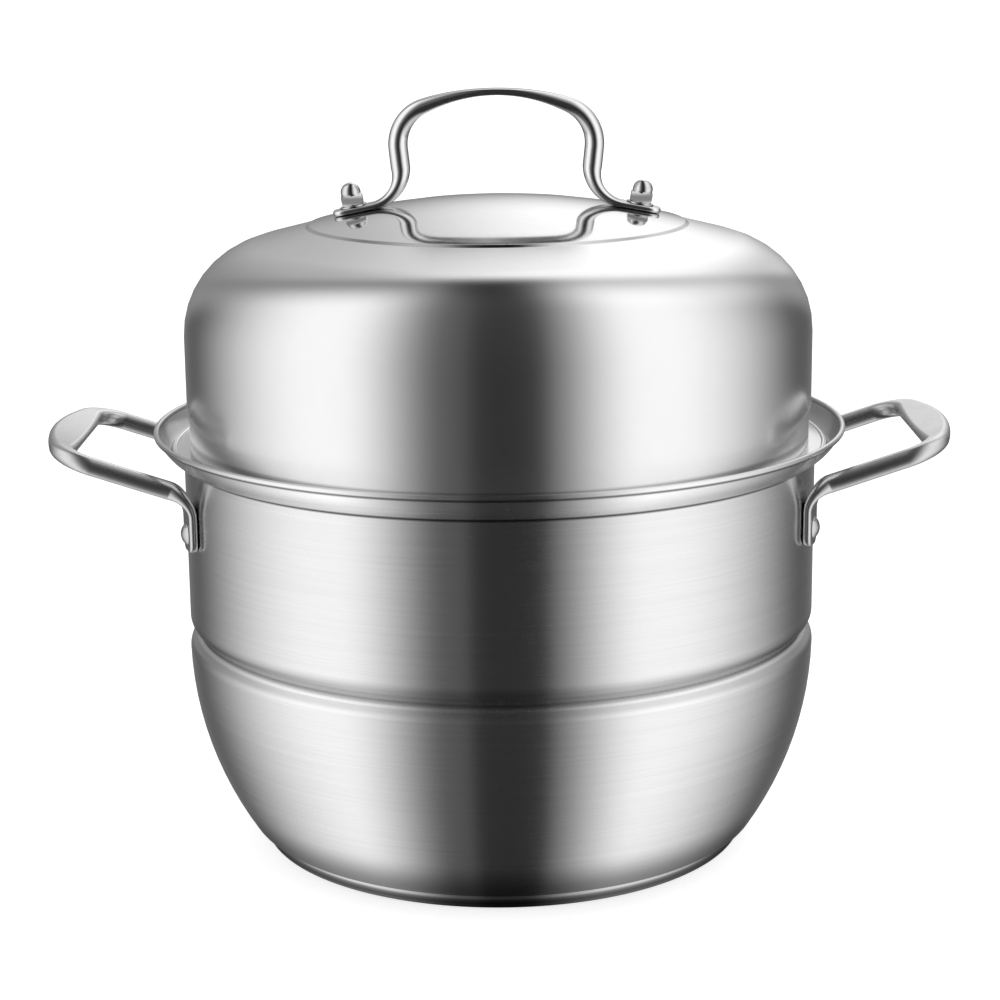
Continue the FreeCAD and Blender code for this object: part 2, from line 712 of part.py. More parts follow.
def cap_nut(label, place):
    """Domed hexagon nut with a blind bore."""
    body = new_body(label)
    hexagon = new_sketch(body, label + "_hexagon", "XY_Plane", FreeCAD.Placement(
        FreeCAD.Vector(0, 0, value("nut_face")), FreeCAD.Rotation()))
    draw_outline(hexagon, [Corner("nut_corner * cos(%d)" % turn, "nut_corner * sin(%d)" % turn)
                           for turn in range(30, 390, 60)])
    pad = body.newObject("PartDesign::Pad", label + "_hexagon_pad")
    pad.Profile = hexagon
    pad.setExpression("Length", expression("nut_hex_height"))
    spin_outline(body, label + "_dome", [
        Corner("0", "nut_face"),
        Corner("nut_dome", "nut_face"),
        Corner("nut_dome", "nut_face + nut_height", "nut_dome * 0.96"),
        Corner("0", "nut_face + nut_height"),
    ])
    spin_outline(body, label + "_bore", [
        Corner("0", "nut_face"),
        Corner("screw_hole", "nut_face"),
        Corner("screw_hole", "nut_face + nut_bore_depth"),
        Corner("0", "nut_face + nut_bore_depth"),
    ], kind="Groove")
    body.Placement = place
    return body


def bolt_place():
    """Place of the right-hand lid bolt: on the cap, along the cap's own normal."""
    base = FreeCAD.Vector(value("bolt_radius"), 0, value("bolt_level"))
    return turned(Y_AXIS, value("bolt_tilt"), base)


BOLTS = {"right": bolt_place(), "left": HALF_TURN * bolt_place()}
AZIMUTH = value("rivet_azimuth")
RIVETS = {"right_rear": AZIMUTH, "right_front": -AZIMUTH, "left_front": 180 + AZIMUTH, "left_rear": 180 - AZIMUTH}

pieces = [pot_body(), base_core(), base_cap()]
pieces.append(steam_plate("lower_steam_plate", "lower_plate_radius", "lower_plate_level"))
pieces.append(steam_plate("upper_steam_plate", "upper_plate_radius", "upper_plate_level"))
pieces.append(side_handle("right_side_handle", FreeCAD.Placement()))
pieces.append(side_handle("left_side_handle", HALF_TURN))
pieces += [rivet(side + "_rivet", azimuth) for side, azimuth in RIVETS.items()]
pieces += [lid_shell(), lid_handle()]
for side, place in BOLTS.items():
    pieces.append(lid_screw(side + "_lid_screw", place))
    pieces.append(washer(side + "_sealing_washer", place, "seal_face - washer_thick"))
    pieces.append(washer(side + "_nut_washer", place, "nut_washer_face"))
    pieces.append(cap_nut(side + "_cap_nut", place))
doc.recompute()

for item in doc.Objects:
    if "Invalid" in item.State or "Error" in item.State:
        raise RuntimeError("%s failed to build" % item.Label)
for piece in pieces:
    if piece.Shape.isNull() or not piece.Shape.isValid() or len(piece.Shape.Solids) != 1:
        raise RuntimeError("%s is not one sound solid" % piece.Label)

os.makedirs("parts", exist_ok=True)
for piece in pieces:
    piece.Shape.exportStep("parts/%s.step" % piece.Label)
    print(piece.Label, round(piece.Shape.Volume), piece.Shape.BoundBox)
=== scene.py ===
import math
from collections import namedtuple

import bpy
import numpy as np
from mathutils import Matrix, Vector
from mathutils.geometry import delaunay_2d_cdt


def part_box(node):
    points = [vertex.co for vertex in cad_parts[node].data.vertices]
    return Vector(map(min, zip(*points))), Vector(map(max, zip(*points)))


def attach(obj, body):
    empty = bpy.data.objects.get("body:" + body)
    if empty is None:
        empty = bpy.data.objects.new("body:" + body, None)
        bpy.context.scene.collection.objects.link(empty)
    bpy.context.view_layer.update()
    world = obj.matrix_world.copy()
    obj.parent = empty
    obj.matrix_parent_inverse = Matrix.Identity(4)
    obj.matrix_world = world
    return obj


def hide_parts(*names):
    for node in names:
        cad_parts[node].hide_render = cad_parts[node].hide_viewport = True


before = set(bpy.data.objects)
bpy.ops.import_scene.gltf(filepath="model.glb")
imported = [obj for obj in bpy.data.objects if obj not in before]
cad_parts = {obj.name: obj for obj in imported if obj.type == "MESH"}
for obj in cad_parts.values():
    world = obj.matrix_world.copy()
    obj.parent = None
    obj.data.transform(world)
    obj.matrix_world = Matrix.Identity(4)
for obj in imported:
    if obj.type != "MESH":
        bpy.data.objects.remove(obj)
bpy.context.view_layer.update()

# Drawn pot
MOUTH = 0.150
WALL = 0.001
WALL_OUTSIDE = MOUTH + WALL
BASE_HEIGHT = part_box("pot_body")[0].z
BOWL_BULGE = 0.0004
BOWL_RADIUS = WALL_OUTSIDE + BOWL_BULGE
BOWL_CURVE = 0.163
FLOOR_ROUND = 0.008
WAIST_HEIGHT = 0.1055
GROOVE_DEPTH = 0.005
GROOVE_ANGLE = math.radians(43)
WAIST_ROUND = 0.006
GROOVE_ROUND = 0.0012
RIM_BEAD = 0.00135
RIM_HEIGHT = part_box("pot_body")[1].z - RIM_BEAD
FLARE_RISE = 0.0128
CREASE_HEIGHT = RIM_HEIGHT - FLARE_RISE
CREASE_ROUND = 0.0005
FLARE_CURVE = 0.0215
FLARE_ANGLE = math.radians(20.5)
# Base
BASE_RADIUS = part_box("base_cap")[1].x
BASE_SKIN = 0.0008
BASE_ROUND = 0.0026
# Steam plates
PLATE_SHEET = 0.0008
PLATE_BEAD = 0.0012
STEAM_HOLE = 0.014
HOLE_RING_STEP = 0.036
HOLE_RINGS = 3
# Lid
LID_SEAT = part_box("lid_shell")[0].z
LID_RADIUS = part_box("lid_shell")[1].x
LID_SHEET = 0.0008
NECK_STEP = 0.001
NECK_HEIGHT = 0.0175
NECK_RUN = 0.006
NECK_ROUND = 0.014
CONE_ANGLE = math.radians(14.4)
LID_SHOULDER = 0.044
CAP_RADIUS = 0.0904
CAP_HEIGHT = 0.1023
CAP_LEVEL = LID_SEAT + CAP_HEIGHT
CAP_STEP = 0.0008
CAP_SLOPE = 0.0016
CAP_ROUND = 0.0009
CAP_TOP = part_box("lid_shell")[1].z
CAP_LIFT = CAP_TOP - CAP_LEVEL - CAP_STEP
CAP_CURVE = (CAP_RADIUS ** 2 + CAP_LIFT ** 2) / (2 * CAP_LIFT)
# Lean of the neck's shading where the pot's rim is close
NECK_LEAN = math.radians(17)
NECK_ROWS = 20
LEAN_TOP = RIM_HEIGHT + 0.0075
LEAN_FOOT = RIM_HEIGHT - 0.0030
# Side handles of flattened tube
CONTACT_GAP = 0.00005
HANDLE_PROJECTION = 0.0554
HANDLE_REACH = WALL_OUTSIDE + HANDLE_PROJECTION
HANDLE_HALF = 0.053
HANDLE_TILT = math.radians(18.3)
GRIP_DROP = 0.0029
GRIP_HEIGHT = RIM_HEIGHT - GRIP_DROP
GRIP_BOW = math.radians(7.5)
HANDLE_CORNER = 0.017
ROOT_BEND = 0.013
ROOT_WIDTH, ROOT_THICK = 0.015, 0.004
LEG_WIDTH, LEG_THICK = 0.009, 0.0086
GRIP_WIDTH, GRIP_THICK = 0.0172, 0.0046
ROOT_RADIUS = WALL_OUTSIDE + CONTACT_GAP + ROOT_THICK / 2
ROOT_ACROSS = math.sqrt(ROOT_RADIUS ** 2 - HANDLE_HALF ** 2)
STRAP_TOP = (GRIP_HEIGHT - (HANDLE_REACH - ROOT_ACROSS) * math.tan(HANDLE_TILT)
             - ROOT_BEND * math.tan(math.pi / 4 - HANDLE_TILT / 2))
STRAP_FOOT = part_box("right_side_handle")[0].z
STRAP_CORNER = 0.005
STRAP_EDGE = 0.0008
# Plane and runs of a side handle's loop, which tilts up from the pot
LOOP_OUTWARD = np.array([math.cos(HANDLE_TILT), 0, math.sin(HANDLE_TILT)])
LOOP_ABOVE = np.array([-math.sin(HANDLE_TILT), 0, math.cos(HANDLE_TILT)])
LOOP_SIDE = np.array([0, 1.0, 0])
GRIP_CURVE = HANDLE_CORNER + (HANDLE_HALF - HANDLE_CORNER) / math.sin(GRIP_BOW)
CORNER_RUN = HANDLE_CORNER * (math.pi / 2 - GRIP_BOW)
GRIP_RUN = GRIP_CURVE * GRIP_BOW
# Rivets
RIVET_AZIMUTH = math.asin(HANDLE_HALF / ROOT_RADIUS)
RIVET_DROP = 0.0081
RIVET_HEIGHT = STRAP_TOP - RIVET_DROP
RIVET_SHANK = 0.0020
RIVET_HEAD, RIVET_DOME = 0.0053, 0.0026
RIVET_TAIL, RIVET_TAIL_THICK = 0.0046, 0.001
RIVET_ROUND = 0.0003
# Lid handle of flattened tube
ARCH_THICK, ARCH_WIDTH = 0.003, 0.0138
ARCH_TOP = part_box("lid_handle")[1].z - ARCH_THICK / 2
ARCH_CURVE = 0.093
ARCH_HALF_SPAN = 0.0461
ARCH_CORNER = 0.019
CORNER_FLATNESS = 0.35
LEG_LEAN = math.radians(6)
FOOT_BEND = 0.016
FOOT_END = 0.010
FOOT_CORNER = 0.005
FOOT_EDGE = 0.0006
FOOT_REACH = 0.0209
FOOT_WIDTH, FOOT_THICK = 0.015, 0.0026
LID_LEG_WIDTH, LID_LEG_THICK = 0.0096, 0.0092
# Lid fasteners, measured along the bolt from the cap
BOLT_RADIUS = ARCH_HALF_SPAN + FOOT_REACH
BOLT_TILT = math.asin(BOLT_RADIUS / CAP_CURVE)
BOLT_LEVEL = CAP_TOP - CAP_CURVE + CAP_CURVE * math.cos(BOLT_TILT)
BOLT_HOLE = 0.003
WASHER_RADIUS, WASHER_THICK = 0.0064, 0.0008
WASHER_ROUND = 0.0003
WASHER_FACE = FOOT_THICK + 2 * CONTACT_GAP
NUT_FACE = WASHER_FACE + WASHER_THICK + CONTACT_GAP
NUT_FLATS = 0.010
NUT_CORNER = NUT_FLATS / 2 / math.cos(math.pi / 6)
NUT_FOOT = NUT_CORNER * 0.93
NUT_FOOT_BEVEL, NUT_TOP_BEVEL = 0.0004, 0.0006
NUT_HEX_HEIGHT = 0.005
NUT_HEIGHT = 0.0106
NUT_CROWN = 0.0028
NUT_DOME = NUT_FLATS / 2 * 0.95
NUT_DOME_FOOT, NUT_DOME_ROUND = 0.0002, NUT_DOME * 0.96
# Camera
CAMERA_DROP = math.radians(13.25)
CAMERA_ROLL = math.radians(0.609)
CAMERA_DISTANCE = 1.1603
CAMERA_TARGET = Vector((0, 0, 0.1628))
# Fineness of the meshes
EDGE_ROUND = 0.00015
ARC_STEP = math.radians(3)
ROUND_STEP = math.radians(12)
SHARP_ANGLE = math.radians(28)
NEARLY_ALONG = 0.9
SEGMENTS, SMALL_SEGMENTS, HOLE_SEGMENTS = 288, 72, 48
OVAL_POINTS = 17
BEAD_STEPS = 24
STRAP_STATIONS, BEND_STATIONS, LEG_STATIONS, LOOP_STATIONS = 12, 22, 8, 26
FOOT_STATIONS, ARCH_STATIONS = 14, 24

Corner = namedtuple("Corner", "across up round bend", defaults=(EDGE_ROUND, 0.0))
Edge = namedtuple("Edge", "start length heading curvature")


def edge_between(start, end, bend):
    """Straight or bent edge: a positive bend radius bulges left of travel, a negative one right."""
    chord = end - start
    span = math.hypot(*chord)
    heading = math.atan2(chord[1], chord[0])
    if not bend:
        return Edge(start, span, heading, 0.0)
    half = math.asin(span / 2 / bend)
    return Edge(start, 2 * half * bend, heading + half, -1 / bend)


def along(edge, distance):
    """Points and headings along an edge: a circle of its curvature leaves its start at its heading."""
    turned = edge.heading + edge.curvature * distance
    if edge.curvature:
        across = (np.sin(turned) - math.sin(edge.heading)) / edge.curvature
        up = (math.cos(edge.heading) - np.cos(turned)) / edge.curvature
    else:
        across = np.cos(turned) * distance
        up = np.sin(turned) * distance
    return edge.start + np.stack([across, up], -1), turned


def fit_round(before, after, radius):
    """Lengths cut off two edges so that an arc of this radius touches both.

    The arc's centre is one radius to the side of both edges, so the cuts are found by Newton's method on
    the distance between the two edges' offset points.
    """
    turn = math.remainder(after.heading - before.heading - before.curvature * before.length, 2 * math.pi)
    side = math.copysign(radius, turn)
    step = radius * 1e-4

    def centre(edge, distance):
        point, heading = along(edge, distance)
        return point + side * np.array([-math.sin(heading), math.cos(heading)])

    def miss(cut):
        return centre(before, before.length - cut[0]) - centre(after, cut[1])

    cut = np.full(2, radius * math.tan(abs(turn) / 2))
    for _ in range(8):
        error = miss(cut)
        slope = np.stack([(miss(cut + nudge) - error) / step for nudge in step * np.eye(2)], -1)
        cut = cut - np.linalg.solve(slope, error)
    return cut


def corner_arc(start, heading, after, cut, radius):
    """Inner points and headings of the arc that leads from a place and a heading into the next edge."""
    turn = math.remainder(after.heading + after.curvature * cut - heading, 2 * math.pi)
    curve = Edge(start, abs(turn) * radius, heading, math.copysign(1 / radius, turn))
    steps = 1 + math.ceil(abs(turn) / ROUND_STEP)
    return along(curve, np.linspace(0, curve.length, steps + 1)[1:-1])


def outline(corners, closed=False):
    """Section through corners as points and headings, with straight or bent edges and rounded corners."""
    points = np.array([(corner.across, corner.up) for corner in corners])
    count = len(corners)
    last = count if closed else count - 1
    edges = [edge_between(points[i], points[(i + 1) % count], corners[i].bend) for i in range(last)]
    cuts = np.zeros((count, 2))
    for i in range(0 if closed else 1, last):
        cuts[i] = fit_round(edges[i - 1], edges[i], corners[i].round)
    runs = []
    for i, edge in enumerate(edges):
        following = (i + 1) % count
        start, stop = cuts[i][1], edge.length - cuts[following][0]
        steps = 1 + math.ceil(abs(edge.curvature) * (stop - start) / ARC_STEP)
        run, ways = along(edge, np.linspace(start, stop, steps + 1))
        runs.append((run, ways))
        if following < last and (closed or following):
            radius = corners[following].round
            runs.append(corner_arc(run[-1], ways[-1], edges[following], cuts[following][1], radius))
    return tuple(np.concatenate(arrays) for arrays in zip(*runs))


def build_mesh(name, vertices, faces, normals=None, uv=None):
    """Mesh from arrays, with smooth faces, its own normals and a map of its two parameters."""
    mesh = bpy.data.meshes.new(name)
    mesh.from_pydata(vertices.tolist(), [], faces)
    mesh.polygons.foreach_set("use_smooth", np.ones(len(faces), bool))
    if uv is not None:
        layer = mesh.uv_layers.new(name="around")
        layer.data.foreach_set("uv", uv.astype(np.float32).ravel())
    mesh.update()
    if normals is not None:
        mesh.normals_split_custom_set_from_vertices(normals.tolist())
    return mesh


def sharp_mesh(name, vertices, faces):
    """Mesh from arrays, smooth but for its sharp edges."""
    mesh = build_mesh(name, vertices, faces)
    mesh.set_sharp_from_angle(angle=SHARP_ANGLE)
    return mesh


def grid_faces(rows, columns, wrap_rows):
    """Quads between neighbouring rows and columns of a grid whose columns close on themselves."""
    down = np.arange(rows if wrap_rows else rows - 1)[:, None]
    across = np.arange(columns)[None, :]
    after, right = (down + 1) % rows, (across + 1) % columns
    corners = [(down, across), (down, right), (after, right), (after, across)]
    flat = [row * columns + column for row, column in corners]
    return np.stack(np.broadcast_arrays(*flat), -1).reshape(-1, 4).tolist()


def grid_map(rows, columns, wrap_rows):
    """Map of a grid's quads: once around along U, once along its rows in V."""
    down = np.arange(rows if wrap_rows else rows - 1)[:, None]
    across = np.arange(columns)[None, :]
    corners = [(across, down), (across + 1, down), (across + 1, down + 1), (across, down + 1)]
    flat = [np.stack(np.broadcast_arrays(u / columns, v / rows), -1) for u, v in corners]
    return np.stack(flat, -2).reshape(-1, 2)


def pole_faces(rows, columns):
    """Triangles from a grid's first and last row to the two vertices that follow the grid's own."""
    across = np.arange(columns)
    right = np.roll(across, -1)
    count = rows * columns
    top = count - columns
    poles = [(count, right, across), (count + 1, top + across, top + right)]
    triangles = [np.stack(np.broadcast_arrays(*corners), -1) for corners in poles]
    return np.stack(triangles, 1).reshape(-1, 3).tolist()


def pole_map(columns):
    """Map of the pole triangles: each pole is spread along its row, half a column over."""
    left = np.arange(columns) / columns
    middle, right = left + 0.5 / columns, left + 1 / columns
    poles = [(0.0, (middle, right, left)), (1.0, (middle, left, right))]
    flat = [np.stack([np.stack([u, np.full(columns, v)], -1) for u in corners], 1) for v, corners in poles]
    return np.stack(flat, 1).reshape(-1, 2)


def round_angles(count):
    """Even angles once round, the start only once."""
    return np.linspace(0, 2 * np.pi, count, endpoint=False)


def spun(radius, height, angle):
    """Points at (r cos a, r sin a, z) for each radius r with its height z, at every angle a."""
    radius, height = radius[:, None], height[:, None]
    rings = np.broadcast_arrays(radius * np.cos(angle), radius * np.sin(angle), height)
    return np.stack(rings, -1).reshape(-1, 3)


def placed(place, vertices):
    """Vertices turned and moved to a place."""
    return vertices @ np.array(place.to_3x3()).T + np.array(place.translation)


def turned_mesh(name, section, segments=SEGMENTS, place=Matrix(), closed=False):
    """Surface of revolution: a point of the section at radius r and height z goes to (r cos a, r sin a, z).

    The normal is the section's own, right of its travel, turned by the same angle a. An open section
    starts and ends on the axis, where one vertex closes each pole.
    """
    points, headings = section
    wall = slice(None) if closed else slice(1, -1)
    angle = round_angles(segments)
    vertices = spun(points[wall, 0], points[wall, 1], angle)
    normals = spun(np.sin(headings[wall]), -np.cos(headings[wall]), angle)
    rows = len(points[wall])
    faces, uv = grid_faces(rows, segments, closed), grid_map(rows, segments, closed)
    if not closed:
        ends = -np.cos(headings[wall][[0, -1]])
        upright = np.array([[0, 0, 1.0]])
        vertices = np.concatenate([vertices, points[[0, -1], 1:] * upright])
        normals = np.concatenate([normals, np.copysign(1, ends)[:, None] * upright])
        faces += pole_faces(rows, segments)
        uv = np.concatenate([uv, pole_map(segments)])
    normals = normals @ np.array(place.to_3x3()).T
    return build_mesh(name, placed(place, vertices), faces, normals, uv)


def swept_mesh(name, centre, sideways, depth, width, thick):
    """Flattened tube along a path: at each station a flat oval lies in the plane of sideways and depth.

    A point of the oval at angle a is the station's centre, plus sideways times (half the straight side
    plus half the thickness times cos a), plus depth times (half the thickness times sin a). Normals come
    from the oval's tangent crossed with the surface's own direction along the path.
    """
    half = np.linspace(-np.pi / 2, np.pi / 2, OVAL_POINTS)
    angle, end = np.concatenate([half, half + np.pi]), np.repeat([1.0, -1.0], OVAL_POINTS)
    cosine, sine = np.cos(angle), np.sin(angle)
    straight, round_part = (width - thick)[:, None] / 2 * end, thick[:, None] / 2
    out = (straight + round_part * cosine)[..., None] * sideways[:, None]
    rise = (round_part * sine)[..., None] * depth[:, None]
    surface = centre[:, None] + out + rise
    tangent = cosine[:, None] * depth[:, None] - sine[:, None] * sideways[:, None]
    normals = np.cross(tangent, np.gradient(surface, axis=0))
    normals /= np.linalg.norm(normals, axis=-1, keepdims=True)
    heading = np.cross(sideways, depth)
    facing = np.sign(heading[0] @ (centre[1] - centre[0]))
    ends = np.stack([-heading[0], heading[-1]]) * facing
    rows, columns = surface.shape[:2]
    vertices = np.concatenate([surface.reshape(-1, 3), centre[[0, -1]]])
    normals = np.concatenate([normals.reshape(-1, 3), ends])
    faces = grid_faces(rows, columns, False) + pole_faces(rows, columns)
    end_map = np.full((6 * columns, 2), 0.5)
    uv = np.concatenate([grid_map(rows, columns, False), end_map])
    return build_mesh(name, vertices, faces, normals, uv)


def blend(first, last, share):
    return first + (last - first) * share


def ended(distance, size, corner):
    """Size of a tongue near its end: full, less what a round of the corner's radius takes off both sides."""
    inside = np.clip(corner - distance, 0, corner)
    return size - 2 * (corner - np.sqrt(corner ** 2 - inside ** 2))


def mirror_stations(half, axis):
    """Whole path from its first half, mirrored across a middle plane."""
    flip = np.ones(3)
    flip[axis] = -1
    return tuple(np.concatenate([array, array[-2::-1] * (flip if array.ndim > 1 else 1)]) for array in half)


def join_runs(runs):
    """One set of stations from runs that share their end stations."""
    parts = [[array if i == 0 else array[1:] for array in run] for i, run in enumerate(runs)]
    return tuple(np.concatenate(arrays) for arrays in zip(*parts))


def straight_run(first, last, count):
    """Stations in even steps from the end of one run to the start of another."""
    share = np.linspace(0, 1, count)
    return tuple(blend(one[-1], two[0], share[:, None] if one.ndim > 1 else share)
                 for one, two in zip(first, last))


def pot_section():
    """Half section of the drawn pot, from the middle of its underside round the rim to its floor's middle."""
    groove = WALL_OUTSIDE - GROOVE_DEPTH
    upper = WAIST_HEIGHT + GROOVE_DEPTH / math.tan(GROOVE_ANGLE)
    shoulder = WAIST_HEIGHT - (BOWL_RADIUS - groove) / math.tan(GROOVE_ANGLE)
    miter = WALL * math.tan(GROOVE_ANGLE / 2)
    bowl_centre = BOWL_RADIUS - BOWL_CURVE
    inner_bowl = BOWL_CURVE - WALL
    floor = BASE_HEIGHT + WALL
    floor_corner = bowl_centre + math.sqrt(BOWL_CURVE ** 2 - (shoulder - BASE_HEIGHT) ** 2)
    inner_corner = bowl_centre + math.sqrt(inner_bowl ** 2 - (shoulder - floor) ** 2)
    flare_across = WALL_OUTSIDE - FLARE_CURVE * math.sin(FLARE_ANGLE)
    flare_level = CREASE_HEIGHT + FLARE_CURVE * math.cos(FLARE_ANGLE)
    inner_flare = FLARE_CURVE - WALL
    inner_crease = flare_level - math.sqrt(inner_flare ** 2 - (MOUTH - flare_across) ** 2)
    rim_angle = math.asin((flare_level - RIM_HEIGHT) / FLARE_CURVE)
    rim = flare_across + FLARE_CURVE * math.cos(rim_angle)
    lip = rim_angle + 2 * math.asin(RIM_BEAD / 2 / FLARE_CURVE)
    inner_lip = rim_angle + math.acos((FLARE_CURVE ** 2 + inner_flare ** 2 - RIM_BEAD ** 2)
                                      / (2 * FLARE_CURVE * inner_flare))

    def on_flare(curve, angle, bend):
        """Corner on the flare's circle, or on its inner one, at an angle below the level."""
        across = flare_across + curve * math.cos(angle)
        return Corner(across, flare_level - curve * math.sin(angle), EDGE_ROUND, bend)

    return outline([
        Corner(0, BASE_HEIGHT),
        Corner(floor_corner, BASE_HEIGHT, FLOOR_ROUND, -BOWL_CURVE),
        Corner(BOWL_RADIUS, shoulder, WAIST_ROUND),
        Corner(groove, WAIST_HEIGHT, GROOVE_ROUND),
        Corner(WALL_OUTSIDE, upper, WAIST_ROUND),
        Corner(WALL_OUTSIDE, CREASE_HEIGHT, CREASE_ROUND, -FLARE_CURVE),
        on_flare(FLARE_CURVE, lip, -RIM_BEAD),
        Corner(rim + RIM_BEAD, RIM_HEIGHT, EDGE_ROUND, -RIM_BEAD),
        Corner(rim, RIM_HEIGHT + RIM_BEAD, EDGE_ROUND, -RIM_BEAD),
        on_flare(inner_flare, inner_lip, inner_flare),
        Corner(MOUTH, inner_crease, CREASE_ROUND),
        Corner(MOUTH, upper + miter, WAIST_ROUND - WALL),
        Corner(groove - WALL / math.cos(GROOVE_ANGLE), WAIST_HEIGHT, GROOVE_ROUND),
        Corner(BOWL_RADIUS - WALL, shoulder - miter, WAIST_ROUND - WALL, inner_bowl),
        Corner(inner_corner, floor, FLOOR_ROUND - WALL),
        Corner(0, floor),
    ])


def base_section():
    """Half section of the cap pressed over the base disc."""
    return outline([
        Corner(0, 0),
        Corner(BASE_RADIUS, 0, BASE_ROUND),
        Corner(BASE_RADIUS, BASE_HEIGHT),
        Corner(BASE_RADIUS - BASE_SKIN, BASE_HEIGHT),
        Corner(BASE_RADIUS - BASE_SKIN, BASE_SKIN, BASE_ROUND - BASE_SKIN),
        Corner(0, BASE_SKIN),
    ])


def lid_section():
    """Half section of the lid, from the middle of its inside round its foot to the middle of its cap."""
    neck = LID_RADIUS - NECK_STEP
    neck_top = LID_SEAT + NECK_HEIGHT
    corner = CAP_LEVEL - (LID_RADIUS - CAP_RADIUS) * math.tan(CONE_ANGLE)
    drop = LID_SHEET / math.cos(CONE_ANGLE) - LID_SHEET * math.tan(CONE_ANGLE)
    inner_curve = CAP_CURVE - LID_SHEET
    cap_edge = CAP_TOP - CAP_CURVE + math.sqrt(CAP_CURVE ** 2 - (CAP_RADIUS - CAP_SLOPE) ** 2)
    inner_cap = CAP_RADIUS - LID_SHEET
    inner_edge = CAP_TOP - CAP_CURVE + math.sqrt(inner_curve ** 2 - inner_cap ** 2)
    return outline([
        Corner(0, CAP_TOP - LID_SHEET, EDGE_ROUND, inner_curve),
        Corner(inner_cap, inner_edge),
        Corner(inner_cap, CAP_LEVEL - drop),
        Corner(LID_RADIUS - LID_SHEET, corner - drop, LID_SHOULDER - LID_SHEET),
        Corner(LID_RADIUS - LID_SHEET, neck_top, NECK_ROUND),
        Corner(neck - LID_SHEET, neck_top - NECK_RUN, NECK_ROUND),
        Corner(neck - LID_SHEET, LID_SEAT),
        Corner(neck, LID_SEAT),
        Corner(neck, neck_top - NECK_RUN, NECK_ROUND),
        Corner(LID_RADIUS, neck_top, NECK_ROUND),
        Corner(LID_RADIUS, corner, LID_SHOULDER),
        Corner(CAP_RADIUS, CAP_LEVEL, CAP_ROUND),
        Corner(CAP_RADIUS - CAP_SLOPE, cap_edge, CAP_ROUND, -CAP_CURVE),
        Corner(0, CAP_TOP),
    ])


def straight_neck(points, headings):
    """Lid section whose slight neck has the wall's upright normal, leaning back where the pot's rim is close.

    Rows are added along the outside of the neck, so that the lean follows the height.
    """
    top = LID_SEAT + NECK_HEIGHT + NECK_ROUND
    long_rise = np.diff(points[:, 1]) > NECK_HEIGHT / 4
    foot = np.flatnonzero(long_rise & (points[:-1, 1] < LID_SEAT + NECK_HEIGHT / 4))[0]
    share = np.linspace(0, 1, NECK_ROWS + 2)[1:-1, None]
    rows = blend(points[foot], points[foot + 1], share)
    points = np.insert(points, foot + 1, rows, axis=0)
    headings = np.insert(headings, foot + 1, np.full(NECK_ROWS, math.pi / 2))
    lean = NECK_LEAN * np.clip((LEAN_TOP - points[:, 1]) / (LEAN_TOP - LEAN_FOOT), 0, 1)
    outside = (np.sin(headings) > NEARLY_ALONG) & (points[:, 1] < top)
    return points, np.where(outside, math.pi / 2 + lean, headings)


def turned_about_axis(vectors, twist):
    """Vectors turned about the upright axis, each by its own twist."""
    x, y, z = vectors.T
    cosine, sine = np.cos(twist), np.sin(twist)
    return np.stack([x * cosine - y * sine, x * sine + y * cosine, z], -1)


def handle_strap():
    """Strap up the pot's wall, rounded and thinned at its lower end."""
    height = blend(STRAP_FOOT, STRAP_TOP, np.linspace(0, 1, STRAP_STATIONS) ** 2)
    level = np.zeros_like(height)
    centre = np.stack([level + ROOT_ACROSS, level + HANDLE_HALF, height], -1)
    facing = turned_about_axis(np.tile([-1.0, 0, 0], (STRAP_STATIONS, 1)), level + RIVET_AZIMUTH)
    sideways = np.cross(facing, [0, 0, 1.0])
    distance = height - STRAP_FOOT
    width, thick = ended(distance, ROOT_WIDTH, STRAP_CORNER), ended(distance, ROOT_THICK, STRAP_EDGE)
    return centre, sideways, facing, width, thick


def handle_bend():
    """Bend from the strap out to the leg, along which the flat strap untwists and grows round."""
    share = np.linspace(0, 1, BEND_STATIONS)
    angle = share * (math.pi / 2 - HANDLE_TILT)
    ease = share ** 2
    twist = RIVET_AZIMUTH * (1 - ease)
    level = np.zeros_like(share)
    out, rise = ROOT_BEND * (1 - np.cos(angle)), ROOT_BEND * np.sin(angle)
    centre = np.stack([ROOT_ACROSS + out, level + HANDLE_HALF, STRAP_TOP + rise], -1)
    heading = turned_about_axis(np.stack([np.sin(angle), level, np.cos(angle)], -1), twist)
    facing = turned_about_axis(np.stack([-np.cos(angle), level, np.sin(angle)], -1), twist)
    width, thick = blend(ROOT_WIDTH, LEG_WIDTH, ease), blend(ROOT_THICK, LEG_THICK, ease)
    return centre, np.cross(facing, heading), facing, width, thick


def loop_arc(centre, radius, angle, run):
    """Arc in the loop's plane, along which the tube flattens.

    The flattening grows with the square of the run round the corner, and what is left of it falls with the
    square of what is left of the run along the grip.
    """
    whole = CORNER_RUN + GRIP_RUN
    growing = run ** 2 / (CORNER_RUN * whole)
    falling = 1 - (whole - run) ** 2 / (GRIP_RUN * whole)
    flat = np.where(run < CORNER_RUN, growing, falling)
    cosine, sine = np.cos(angle)[:, None], np.sin(angle)[:, None]
    heading = LOOP_OUTWARD * cosine - LOOP_SIDE * sine
    arm = LOOP_OUTWARD * sine + LOOP_SIDE * cosine
    facing = np.tile(LOOP_ABOVE, (len(run), 1))
    width, thick = blend(LEG_WIDTH, GRIP_WIDTH, flat), blend(LEG_THICK, GRIP_THICK, flat)
    return centre + arm * radius, np.cross(facing, heading), facing, width, thick


